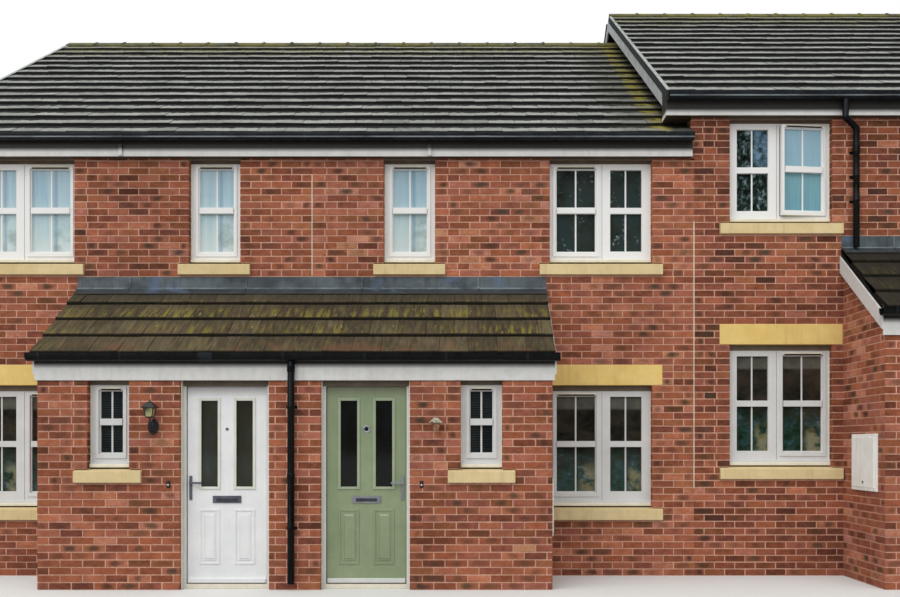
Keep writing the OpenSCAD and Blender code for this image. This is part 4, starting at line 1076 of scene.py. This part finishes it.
teal = Pane("pane_sky_reflection")
# The turned sash mirrors open sky: a painted reflection, paler higher up, with faint pale streaks.
colour = teal.above.ramp({0: (110, 158, 172), 0.45: (120, 166, 174), 0.55: (142, 178, 192), 1: (154, 186, 202)})
lines = teal.noise(40, 3, 0.6, (1, 1, 0.04)).ramp({0.4: 0, 0.7: 0.14})
pane_teal = teal.paint(colour.blend(lines, (196, 214, 222)))

room = Pane("pane_roller_blind")
# A dark room with a roller blind at the top and a curtain low on one side, under painted reflections of bushes over
# its lower part.
colour = room.noise(3.5, 6, 0.7, (1, 1, 1.5), 0.5).ramp({0.36: (22, 23, 19), 0.5: (44, 41, 34), 0.68: (62, 54, 46)})
bush_reflections = room.noise(8, 6, 0.75, (1, 1, 1.3), 0.4).ramp({0.36: (18, 30, 26), 0.5: (34, 60, 44), 0.6: (44, 74, 82),
                                                        0.72: (122, 140, 138)})
colour = colour.blend((room.above + room.noise(4, 3) * 0.4).ramp({0.4: 0.9, 0.75: 0}), bush_reflections)
curtain = (room.across.band(0.62, 1.2, 0.08) * room.above.band(-0.2, 0.26, 0.06)
           * room.noise(7, 3).ramp({0.42: 0, 0.56: 0.7}))
blind = room.above.band(0.87, 1.2, 0.012) * room.noise(6, 3).ramp({0.35: 0.5, 0.65: 0.95})
pane_blind = room.paint(colour.blend(curtain, (136, 130, 96)).blend(blind, (98, 98, 88)))

slats = Pane("pane_slat_blind")
colour = (slats.above * 24).math("FRACT").ramp({0.1: (24, 28, 28), 0.4: (46, 52, 52), 0.75: (40, 46, 46),
                                                0.95: (22, 26, 26)})
dim = slats.noise(3).ramp({0.35: 0.6, 0.65: 1.15})
pane_slats = slats.paint(colour.blend(1.0, dim, "MULTIPLY"))


def lights_of(width):
    """Lights of a window as party-side edge, width and whether it is a sash."""
    if width > NARROW_W + FRAME_FACE:
        half = (width - 2 * FRAME_FACE - MULLION_FACE) / 2
        return ((FRAME_FACE, half + MULLION_SHIFT, True),
                (FRAME_FACE + MULLION_FACE + half + MULLION_SHIFT, half - MULLION_SHIFT, False))
    side = FRAME_FACE + NARROW_SIDE
    return ((side, width - 2 * side, True),)


class WindowTrim:
    """Bars, hoods, gaps, sealant, head boards and panes of all the windows."""

    def __init__(self):
        self.bars, self.hoods, self.gaps, self.beads, self.boards = (bmesh.new() for _ in range(5))
        self.panes = {}

    def sheet(self, finish, matrix, size, chart):
        """Thin pane, charted 0 to 1 over its whole light."""
        part = bmesh.new()
        layer = part.loops.layers.uv.new("pane")
        corners = [part.verts.new((x, y, z)) for y in (0, PANE_T) for x, z in
                   ((0, 0), (size[0], 0), (size[0], size[1]), (0, size[1]))]
        part.faces.new(corners[:4])
        part.faces.new(list(reversed(corners[4:])))
        for k in range(4):
            n = (k + 1) % 4
            part.faces.new((corners[k], corners[k + 4], corners[n + 4], corners[n]))
        for face in part.faces:
            for loop in face.loops:
                u = loop.vert.co.x / size[0]
                loop[layer].uv = (1 - u if chart[2] else u,
                                  chart[0] + (chart[1] - chart[0]) * loop.vert.co.z / size[1])
        if finish.name not in self.panes:
            self.panes[finish.name] = (finish, bmesh.new())
            self.panes[finish.name][1].loops.layers.uv.new("pane")
        pour(self.panes[finish.name][1], part, matrix)

    def window(self, hole, side, y, facing, cill, board, finishes, turn=0.0):
        """Trim of one window, from its party-side foot corner."""
        width, height = hole[1] - hole[0], hole[3] - hole[2]
        base = (Matrix.Translation((hole[0] if side > 0 else hole[1], y, hole[2]))
                @ Matrix.Diagonal((side, facing, 1, 1)))
        foot = cill + FRAME_FACE
        head = height - board
        tall = head - HEAD_FACE - foot
        for u in (0.0, width - BEAD_W):
            block(self.beads, (u, REVEAL - 0.007, 0.004), (u + BEAD_W, REVEAL + 0.012, head), 0.004, base)
        # The olive board over each frame is dark partly as painted shade under the lintel and soffit.
        block(self.boards, (0.001, REVEAL - 0.0075, head + 0.001), (width - 0.001, REVEAL + 0.01, height), 0.002, base)
        if board == UPPER_BOARD:
            block(self.boards, (0.0, -0.004, height - 0.022), (width, 0.003, height - 0.001), 0.001, base)
        # The dark strip in the gap under the cill is the cill's painted shadow.
        block(self.gaps, (0.004, REVEAL - 0.02, 0.0), (width - 0.004, REVEAL - 0.004, SUB_SILL[0]), 0.002, base)
        block(self.hoods, (0.002, REVEAL - 0.034, SUB_SILL[0]), (width - 0.002, REVEAL + 0.002, SUB_SILL[1]),
              0.005, base)
        if width > NARROW_W + FRAME_FACE:
            seam = width / 2 + MULLION_SHIFT
            block(self.gaps, (seam - 0.0015, REVEAL - 0.0012, cill + 0.006),
                  (seam + 0.0015, REVEAL + 0.002, head - 0.006), 0.0005, base)
        for (edge, wide, sash), finish in zip(lights_of(width), finishes):
            open_by = turn if sash else 0.0
            light = (base @ Matrix.Translation((edge - (HINGE_IN if open_by else 0), REVEAL, foot))
                     @ Matrix.Rotation(-open_by, 4, "Z"))
            stile = SASH_FACE if sash else FIXED_FACE
            clear = wide - 2 * stile
            up = tall - SASH_FACE - FOOT_FACE
            half = (up - RAIL_H) / 2
            bar = stile + clear / 2
            for low, high, part in ((0, half, (0.0, 0.465)), (up - half, up, (0.535, 1.0))):
                at = light @ Matrix.Translation((stile, FRAME_D / 2 - 0.0025, FOOT_FACE + low))
                self.sheet(finish, at, (clear, high - low), (*part, side * facing < 0))
                block(self.bars, (bar - BAR_W / 2, FRAME_D / 2 - 0.009, FOOT_FACE + low - 0.002),
                      (bar + BAR_W / 2, FRAME_D / 2 - 0.001, FOOT_FACE + high + 0.002), 0.003, light)
            if sash:
                inset = stile + 0.01 if wide < NARROW_W else 0.016
                slot = tall - SASH_FACE + 0.01
                # The vent slot under each hood is dark, the hood's painted shadow.
                block(self.gaps, (inset, -SASH_PROUD - 0.0012, slot),
                      (wide - inset, -SASH_PROUD + 0.002, slot + 0.014), 0.0005, light)
                block(self.hoods, (inset - 0.006, -SASH_PROUD - 0.016, slot + 0.014),
                      (wide - inset + 0.006, -SASH_PROUD + 0.002, slot + 0.029), 0.005, light)


trim = WindowTrim()
PICTURES = {("left", -1): ((pane_net, pane_net), (pane_net,), (pane_blind, pane_blind)),
            ("left", 1): ((pane_dark, pane_dark), (pane_net,), (pane_blind, pane_blind)),
            ("right", -1): ((pane_teal, pane_tree), (pane_net,), (pane_blind, pane_blind)),
            ("right", 1): ((pane_net, pane_net), (pane_teal,), (pane_blind, pane_dark))}
for pair, side, mid, width, ground in HOUSES:
    wide_look, narrow_look, low_look = PICTURES[pair, side]
    wide, narrow, low = windows_of(mid, side, width, ground)
    for facing in (1, -1):
        y = -facing * HALF_DEPTH
        turn = AJAR if (pair, side, facing) == ("right", -1, 1) else 0.0
        trim.window(wide, side, y, facing, UPPER_CILL, UPPER_BOARD, wide_look, turn)
        trim.window(narrow, side, y, facing, UPPER_CILL, UPPER_BOARD, narrow_look)
        trim.window(low, side, y, facing, GROUND_CILL, GROUND_BOARD, low_look)
    trim.window(porch_window(mid, side, ground), side, PORCH_Y, 1, PORCH_CILL, GROUND_BOARD, (pane_slats,))
for name, (finish, bm) in trim.panes.items():
    close(name + "_sheets", bm, finish)
for name, bm, finish in (("glazing_bars", trim.bars, white), ("vent_hoods", trim.hoods, cream),
                         ("window_seals", trim.beads, cream), ("window_gaps", trim.gaps, shadow),
                         ("window_head_boards", trim.boards, olive)):
    close(name, bm, finish)


# Doors
# Moulded plastic-faced leaves with two tall glazed lights over two raised
# panels, hung in white frames: one sage green, the others white. Cream trims
# hold the glass, with a viewer, letter plate and lever handles.
DOOR_SET = 0.08
LEAF_Y = 0.106
LEAF_W = 0.792
LEAF_Z = 0.053
LIGHT_W = 0.172
LIGHT_H = 0.87
LIGHT_CX = 0.176
LIGHT_Z = LEAF_Z + 0.965
PANEL_W = 0.172
PANEL_H = 0.52
PANEL_Z = LEAF_Z + 0.205
PANEL_INSET = 0.027
LETTER_Z = LEAF_Z + 0.805
VIEWER_Z = 1.60
SEAL_FACE = 0.013


def door_skin(name, low, high, wear):
    """Moulded door skin: a fine upright wood grain, hand marks, painted highlight and painted shade on raised field
    edges, and painted shade along the leaf's top.
    """
    skin = Finish(name, 0.38, 0.4)
    colour = stain(skin.noise(3, 4).ramp({0.3: low, 0.7: high}), wear, 0.22)
    # Field edges take a painted highlight where lit and painted shade where shut.
    colour = colour.blend(skin.attribute("lit") * 0.4, (250, 252, 244))
    colour = colour.blend(skin.attribute("shut") * 0.5, colour.blend(1.0, (150, 152, 148), "MULTIPLY"))
    # The top of the leaf is darkened as painted shade from the door head.
    raised = skin.place.part(0).ramp({0: 0, 0.001: STEP_UP})
    dim = (skin.place.part(2) - raised - 1.2).ramp({0.72: 0, 0.82: 0.55})
    grain = skin.noise(60, 4, 0.6, (1, 1, 0.05), 0.3)
    return skin.paint(grime(colour, 0.06).blend(dim, (112, 104, 92)), grain, 0.0006, 0.15)


def metal_finish(name, low, high):
    """Satin plated metal, faintly mottled."""
    metal = Finish(name, 0.32)
    metal.surface["Metallic"].default_value = 0.35
    return metal.paint(metal.noise(9).ramp({0.35: low, 0.65: high}))


white_skin = door_skin("white_door_skin", (230, 231, 232), (240, 240, 239), (204, 204, 194))
green_skin = door_skin("green_door_skin", (132, 147, 111), (148, 161, 126), (104, 116, 84))
grey_skin = door_skin("shut_door_skin", (222, 223, 222), (232, 232, 229), (190, 188, 176))
pale_trim = door_skin("pale_trim", (214, 216, 202), (226, 228, 216), (188, 188, 170))
green_trim = door_skin("green_trim", (150, 163, 136), (166, 177, 150), (118, 130, 102))
metal = metal_finish("satin_silver", (132, 134, 140), (166, 168, 172))
dark_metal = metal_finish("dark_bronze", (54, 56, 66), (78, 80, 90))
white_fittings = metal_finish("white_door_silver", (84, 84, 96), (112, 112, 124))
# Door glass is dark in soft mottles, with faint greenish and bluish painted reflections.
hall_glass = mottled("dim_hall_glass", 0.06, 0.3, (4, 4, 0.6, (1, 1, 0.3)),
                     {0.35: (44, 44, 37), 0.52: (52, 51, 43), 0.72: (58, 66, 62)})
dark_glass = mottled("dark_hall_glass", 0.06, 0.3, (4, 4, 0.6, (1, 1, 0.3)),
                     {0.35: (18, 19, 17), 0.52: (24, 24, 22), 0.72: (26, 32, 38)})
softened("white_door_leaf", "white_door", 0.0025, white_skin, "white_door")
softened("green_door_leaf", "green_door", 0.0025, green_skin, "green_door")
softened("shut_door_leaves", "fixed_doors", 0.0025, grey_skin)
softened("door_frame_jambs", "door_jambs", 0.003, white)
softened("door_frame_heads", "door_heads", 0.003, white)
softened("white_door_metal", "white_door_fittings", 0.002, white_fittings, "white_door")
softened("green_door_metal", "green_door_fittings", 0.002, metal, "green_door")
softened("door_sills", "door_thresholds", 0.003, cream)


def field(bm, x, z, w, h, y, face, proud, slope):
    """Raised panel field with broad sloping edges on a face at y; its top and right edges carry painted highlight, its
    bottom and left edges painted shade.
    """
    part = bmesh.new()
    lit, shut = part.faces.layers.float.new("lit"), part.faces.layers.float.new("shut")
    v = [part.verts.new((x + sx * (w / 2 - inset), y - face * depth, z + (h - inset if sz else inset)))
         for depth, inset in ((-0.002, 0.0), (proud, slope)) for sx, sz in ((-1, 0), (1, 0), (1, 1), (-1, 1))]
    part.faces.new(v[:4])
    part.faces.new(v[:3:-1])
    for k in range(4):
        n = (k + 1) % 4
        edge = part.faces.new((v[k], v[n], v[n + 4], v[k + 4]))
        edge[lit] = (0.0, 0.35, 1.0, 0.0)[k]
        edge[shut] = (1.0, 0.0, 0.0, 0.6)[k]
    pour(bm, part)


def rim_of(bm, x, z, w, h, y, face, rim, proud):
    """Four strips round a rectangle on a face at y."""
    left, right, top = x - w / 2, x + w / 2, z + h
    for x0, z0, x1, z1 in ((left - rim, z - rim, left, top + rim), (right, z - rim, right + rim, top + rim),
                           (left, z - rim, right, z), (left, top, right, top + rim)):
        block(bm, (x0, y, z0), (x1, y - face * proud, z1), 0.005)


def door_details(name, x, y, facing, ground, body, skin, trim, pane, viewer_r, bar_finish):
    """Trims, glass looks, viewer, letter flap and weather bar of one door."""
    looks = {"trims": trim, "lights": pane, "viewer": metal, "weather_bar": bar_finish, "fields": skin,
             "letter_flap": dark_metal}
    parts = {kind: bmesh.new() for kind in looks}
    for layer in ("lit", "shut"):
        parts["fields"].faces.layers.float.new(layer)
    face_y = y + facing * LEAF_Y

    def plate(kind, centre, half, foot, head, near, far, arris):
        """Plate between two distances out from the leaf's face."""
        block(parts[kind], (centre - half, face_y - facing * near, ground + foot),
              (centre + half, face_y - facing * far, ground + head), arris)

    for centre in (x - LIGHT_CX, x + LIGHT_CX):
        rim_of(parts["trims"], centre, ground + LIGHT_Z + 0.004, LIGHT_W - 0.008, LIGHT_H - 0.008,
               face_y + facing * 0.003, facing, 0.029, 0.013)
        field(parts["fields"], centre, ground + PANEL_Z + PANEL_INSET, PANEL_W - 2 * PANEL_INSET,
              PANEL_H - 2 * PANEL_INSET, face_y, facing, 0.011, 0.017)
        rim_of(parts["fields"], centre, ground + PANEL_Z - 0.002, PANEL_W + 0.004, PANEL_H + 0.004,
               face_y + facing * 0.003, facing, 0.018, 0.008)
        plate("lights", centre, LIGHT_W / 2 - 0.003, LIGHT_Z + 0.003, LIGHT_Z + LIGHT_H - 0.003,
              -0.0085, -0.0095, 0.0004)
    at = Matrix.Translation((x, face_y, ground + VIEWER_Z)) @ Matrix.Rotation(QUARTER * facing, 4, "X")
    turned(parts["viewer"], [(0, -0.002), (viewer_r, -0.002), (viewer_r, 0.004), (viewer_r * 0.8, 0.008),
                             (viewer_r * 0.6, 0.005), (0, 0.0045)], at)
    turned(parts["lights"], [(0, 0.002), (viewer_r * 0.55, 0.002), (viewer_r * 0.5, 0.0062), (0, 0.0068)], at, 20)
    plate("letter_flap", x, 0.105, LETTER_Z + 0.014, LETTER_Z + 0.048, 0.009, 0.0135, 0.002)
    plate("lights", x, 0.12, LETTER_Z + 0.051, LETTER_Z + 0.059, 0.006, 0.0095, 0.001)
    plate("weather_bar", x, LEAF_W / 2 - 0.004, LEAF_Z + 0.004, LEAF_Z + 0.05, -0.002, 0.022, 0.006)
    for kind, finish in looks.items():
        close(f"{name}_{kind}", parts[kind], finish, body)


door_details("white_door", LEFT_MID - DOOR_CX, PORCH_Y, 1, 0.0, "white_door", white_skin, pale_trim,
             hall_glass, 0.016, white_skin)
door_details("green_door", LEFT_MID + DOOR_CX, PORCH_Y, 1, 0.0, "green_door", green_skin, green_trim,
             dark_glass, 0.04, white)
for side, word in ((-1, "left"), (1, "right")):
    for index, (x, y, facing, ground) in enumerate((
            (RIGHT_MID + side * DOOR_CX, PORCH_Y, 1, STEP_UP),
            (LEFT_MID + side * REAR_DOOR_CX, HALF_DEPTH, -1, 0.0),
            (RIGHT_MID + side * REAR_DOOR_CX, HALF_DEPTH, -1, STEP_UP))):
        door_details(f"shut_door_{index}_{word}", x, y, facing, ground, "houses", grey_skin, pale_trim,
                     hall_glass, 0.016, white)

seals, head_shade_boards = bmesh.new(), bmesh.new()
for pair, side, mid, width, ground in HOUSES:
    for off, y, facing in ((DOOR_CX, PORCH_Y, 1), (REAR_DOOR_CX, HALF_DEPTH, -1)):
        left, right, foot, head = doorway(mid, side, off, ground)
        for x in (left, right - SEAL_FACE):
            block(seals, (x, y + facing * 0.03, foot + 0.004),
                  (x + SEAL_FACE, y + facing * (DOOR_SET + 0.01), head), 0.004)
        # A dark board under each door head stands for the shade there, as painted shade.
        block(head_shade_boards, (left + 0.014, y + facing * (DOOR_SET - 0.007), head - 0.072),
              (right - 0.014, y + facing * (DOOR_SET + 0.006), head - 0.001), 0.004)
close("door_seals", seals, cream)
close("door_head_shade_boards", head_shade_boards, olive)


# Wall fittings
# Black coach lanterns on scrolled brackets beside the doors, one of them
# bleached pale, black bell pushes, and white meter boxes with hinged covers.
LANTERN_CX = 1.405
LANTERN_Z = 1.549
LANTERN_OUT = 0.105
BELLS = ((LEFT_MID - 1.255, 0), (LEFT_MID + 1.258, 0), (RIGHT_MID - 1.255, STEP_UP), (RIGHT_MID + 1.255, STEP_UP))
BELL_Z = 1.05
METER_SIDE, METER_Y, METER_Z, METER_D = 0.59, 0.27, 0.515, 0.028
COVER_INSET = 0.035

iron = mottled("lantern_black", 0.4, 0.5, (30,), {0.3: (14, 14, 14), 0.7: (38, 38, 36)}, 90, 0.0006)
bleached = mottled("lantern_bleached", 0.8, 0.3, (22, 5, 0.7),
                   {0.35: (88, 86, 66), 0.5: (158, 154, 134), 0.66: (204, 200, 184)}, 60, 0.001)
lamp_glass = mottled("lantern_glass", 0.1, 0.5, (22, 4, 0.6, (1, 1, 0.4)),
                     {0.38: (70, 78, 54), 0.62: (170, 168, 120)})
clear_glass = mottled("clear_lantern_glass", 0.12, 0.4, (26, 4, 0.6), {0.38: (118, 76, 58), 0.62: (176, 126, 98)})


def frustum(bm, low_side, high_side, low_z, high_z, arris=0.002):
    """Four-sided taper, square to the wall, standing on the origin's axis."""
    part = bmesh.new()
    bmesh.ops.create_cone(part, cap_ends=True, segments=4, radius1=low_side / math.sqrt(2),
                          radius2=high_side / math.sqrt(2), depth=high_z - low_z)
    bmesh.ops.bevel(part, geom=list(part.edges), offset=arris, segments=1, profile=0.5, affect="EDGES",
                    clamp_overlap=True, material=-1)
    pour(bm, part, Matrix.Translation((0, 0, (low_z + high_z) / 2)) @ Matrix.Rotation(QUARTER / 2, 4, "Z"))


def tube(bm, points, radius, steps=10):
    """Round bar swept through points in one upright plane, with flat ends."""
    part = bmesh.new()
    rings = []
    wide = Vector((1, 0, 0))
    for k, point in enumerate(points):
        along = (Vector(points[min(k + 1, len(points) - 1)]) - Vector(points[max(k - 1, 0)])).normalized()
        side = along.cross(wide).normalized()
        rings.append([part.verts.new(Vector(point) + radius * (
            math.cos(2 * math.pi * n / steps) * side + math.sin(2 * math.pi * n / steps) * wide))
            for n in range(steps)])
    for a, b in zip(rings, rings[1:]):
        for n in range(steps):
            part.faces.new((a[n], a[(n + 1) % steps], b[(n + 1) % steps], b[n]))
    part.faces.new(rings[0])
    part.faces.new(list(reversed(rings[-1])))
    pour(bm, part)


def worn_lantern(frame_bm, glass_bm):
    """The bleached lantern: a wide shallow hat over a short clear body."""
    wall = LANTERN_OUT
    block(frame_bm, (-0.02, wall - 0.012, 0.085), (0.02, wall, 0.15), 0.008)
    tube(frame_bm, [(0, wall - 0.006, 0.118), (0, wall * 0.5, 0.122), (0, 0.01, 0.118)], 0.008)
    for taper in ((0.138, 0.13, 0.108, 0.116), (0.128, 0.06, 0.115, 0.146), (0.062, 0.03, 0.145, 0.158)):
        frustum(frame_bm, *taper)
    frustum(glass_bm, 0.05, 0.082, 0.03, 0.109, 0.002)


def coach_lantern(frame_bm, glass_bm):
    """Frame and glass of one lantern, its axis at x = y = 0, the wall at +Y."""
    wall = LANTERN_OUT
    turned(frame_bm, [(0, 0), (0.056, 0), (0.056, 0.007), (0.046, 0.013), (0.03, 0.019), (0.01, 0.022), (0, 0.022)],
           Matrix.Translation((0, wall, 0.074)) @ Matrix.Rotation(QUARTER, 4, "X")
           @ Matrix.Diagonal((1, 1.45, 1, 1)), 28)
    tube(frame_bm, [(0, wall - 0.01, 0.03), (0, wall * 0.55, 0.022), (0, 0.02, 0.04), (0, 0.002, 0.075),
                    (0, 0, 0.12), (0, 0, 0.165)], 0.007)
    tube(frame_bm, [(0, wall - 0.01, 0.13), (0, wall * 0.6, 0.125), (0, wall * 0.35, 0.1),
                    (0, wall * 0.33, 0.075), (0, wall * 0.48, 0.06), (0, wall * 0.6, 0.075)], 0.005)
    frustum(frame_bm, 0.05, 0.07, 0.158, 0.17)
    frustum(glass_bm, 0.06, 0.092, 0.168, 0.258, 0.001)
    for sx in (-1, 1):
        for sy in (-1, 1):
            tube(frame_bm, [(sx * 0.031, sy * 0.031, 0.165), (sx * 0.048, sy * 0.048, 0.262)], 0.0045, 6)
    for taper in ((0.136, 0.136, 0.256, 0.264), (0.132, 0.052, 0.263, 0.305), (0.056, 0.03, 0.304, 0.318)):
        frustum(frame_bm, *taper)
    turned(frame_bm, [(0, 0.314), (0.008, 0.316), (0.004, 0.322), (0.009, 0.329), (0.004, 0.336), (0, 0.338)],
           Matrix.Identity(4), 12)


black_bm, pale_bm, lamp_bm, clear_bm = (bmesh.new() for _ in range(4))
for pair, side, mid, width, ground in HOUSES:
    worn = (pair, side) == ("left", 1)
    frame_bm, glass_bm = bmesh.new(), bmesh.new()
    (worn_lantern if worn else coach_lantern)(frame_bm, glass_bm)
    at = Matrix.Translation((mid + side * LANTERN_CX, PORCH_Y - LANTERN_OUT, ground + LANTERN_Z))
    pour(pale_bm if worn else black_bm, frame_bm, at)
    pour(clear_bm if worn else lamp_bm, glass_bm, at)
lanterns = close("lantern_frames", black_bm, iron)
close("bleached_lantern_frame", pale_bm, bleached)
close("lantern_panes", lamp_bm, lamp_glass)
close("bleached_lantern_panes", clear_bm, clear_glass)
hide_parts("wall_lanterns")

bells, buttons = bmesh.new(), bmesh.new()
for x, ground in BELLS:
    z = ground + BELL_Z
    block(bells, (x - 0.018, PORCH_Y - 0.013, z - 0.036), (x + 0.018, PORCH_Y, z + 0.036), 0.006)
    turned(buttons, [(0, 0), (0.009, 0), (0.009, 0.004), (0.007, 0.006), (0, 0.007)],
           Matrix.Translation((x, PORCH_Y - 0.012, z - 0.006)) @ Matrix.Rotation(QUARTER, 4, "X"), 16)
close("bell_pushes", bells, iron)
close("bell_buttons", buttons, white)

meter_white = mottled("meter_white", 0.5, 0.4, (5,), {0.3: (246, 246, 238), 0.7: (252, 252, 248)}, 40, 0.0006,
                      streak=((190, 186, 160), 0.3), dirt=0.1)
softened("meter_cases", "meter_boxes", 0.006, meter_white)
covers, locks = bmesh.new(), bmesh.new()
for pair, side, mid, width, ground in HOUSES:
    x = mid + side * (PORCH_HALF_W + METER_D)
    back, front = x - side * 0.004, x + side * 0.006
    y1 = -HALF_DEPTH - METER_Y
    y0 = y1 - METER_SIDE
    z = ground + METER_Z
    top = z + METER_SIDE
    block(covers, (back, y0 + COVER_INSET, z + COVER_INSET), (front, y1 - COVER_INSET, top - COVER_INSET), 0.004)
    for hinge_y in (y0 + 0.14, y1 - 0.2):
        block(covers, (back, hinge_y, top - 0.04), (front, hinge_y + 0.06, top - 0.022), 0.003)
    turned(locks, [(0, 0), (0.014, 0), (0.014, 0.003), (0.01, 0.006), (0, 0.0065)],
           Matrix.Translation((x + side * 0.005, (y0 + y1) / 2, z + 0.09))
           @ Matrix.Rotation(QUARTER * side, 4, "Y"), 16)
close("meter_covers", covers, meter_white)
close("meter_locks", locks, iron)


# Floors and inner walls
# Cast concrete ground floors and lobbies, boarded upper floors, and plastered
# block party walls, all bare as no room is fitted out.
dress(mottled("bare_concrete", 0.9, 0.3, (8, 6), {0.3: (134, 132, 126), 0.7: (160, 158, 150)}, 70, 0.001, dirt=0.2),
      "ground_floors", "porch_floors", "porch_beams")
dress(mottled("bare_plaster", 0.85, 0.3, (5, 6), {0.3: (190, 184, 174), 0.7: (206, 200, 190)}, 70, 0.0006, dirt=0.2),
      "party_walls", "porch_party_walls")
dress(mottled("floor_boards", 0.7, 0.3, (6, 6), {0.3: (150, 122, 88), 0.7: (176, 146, 108)}, 70, 0.001, dirt=0.2),
      "first_floors")
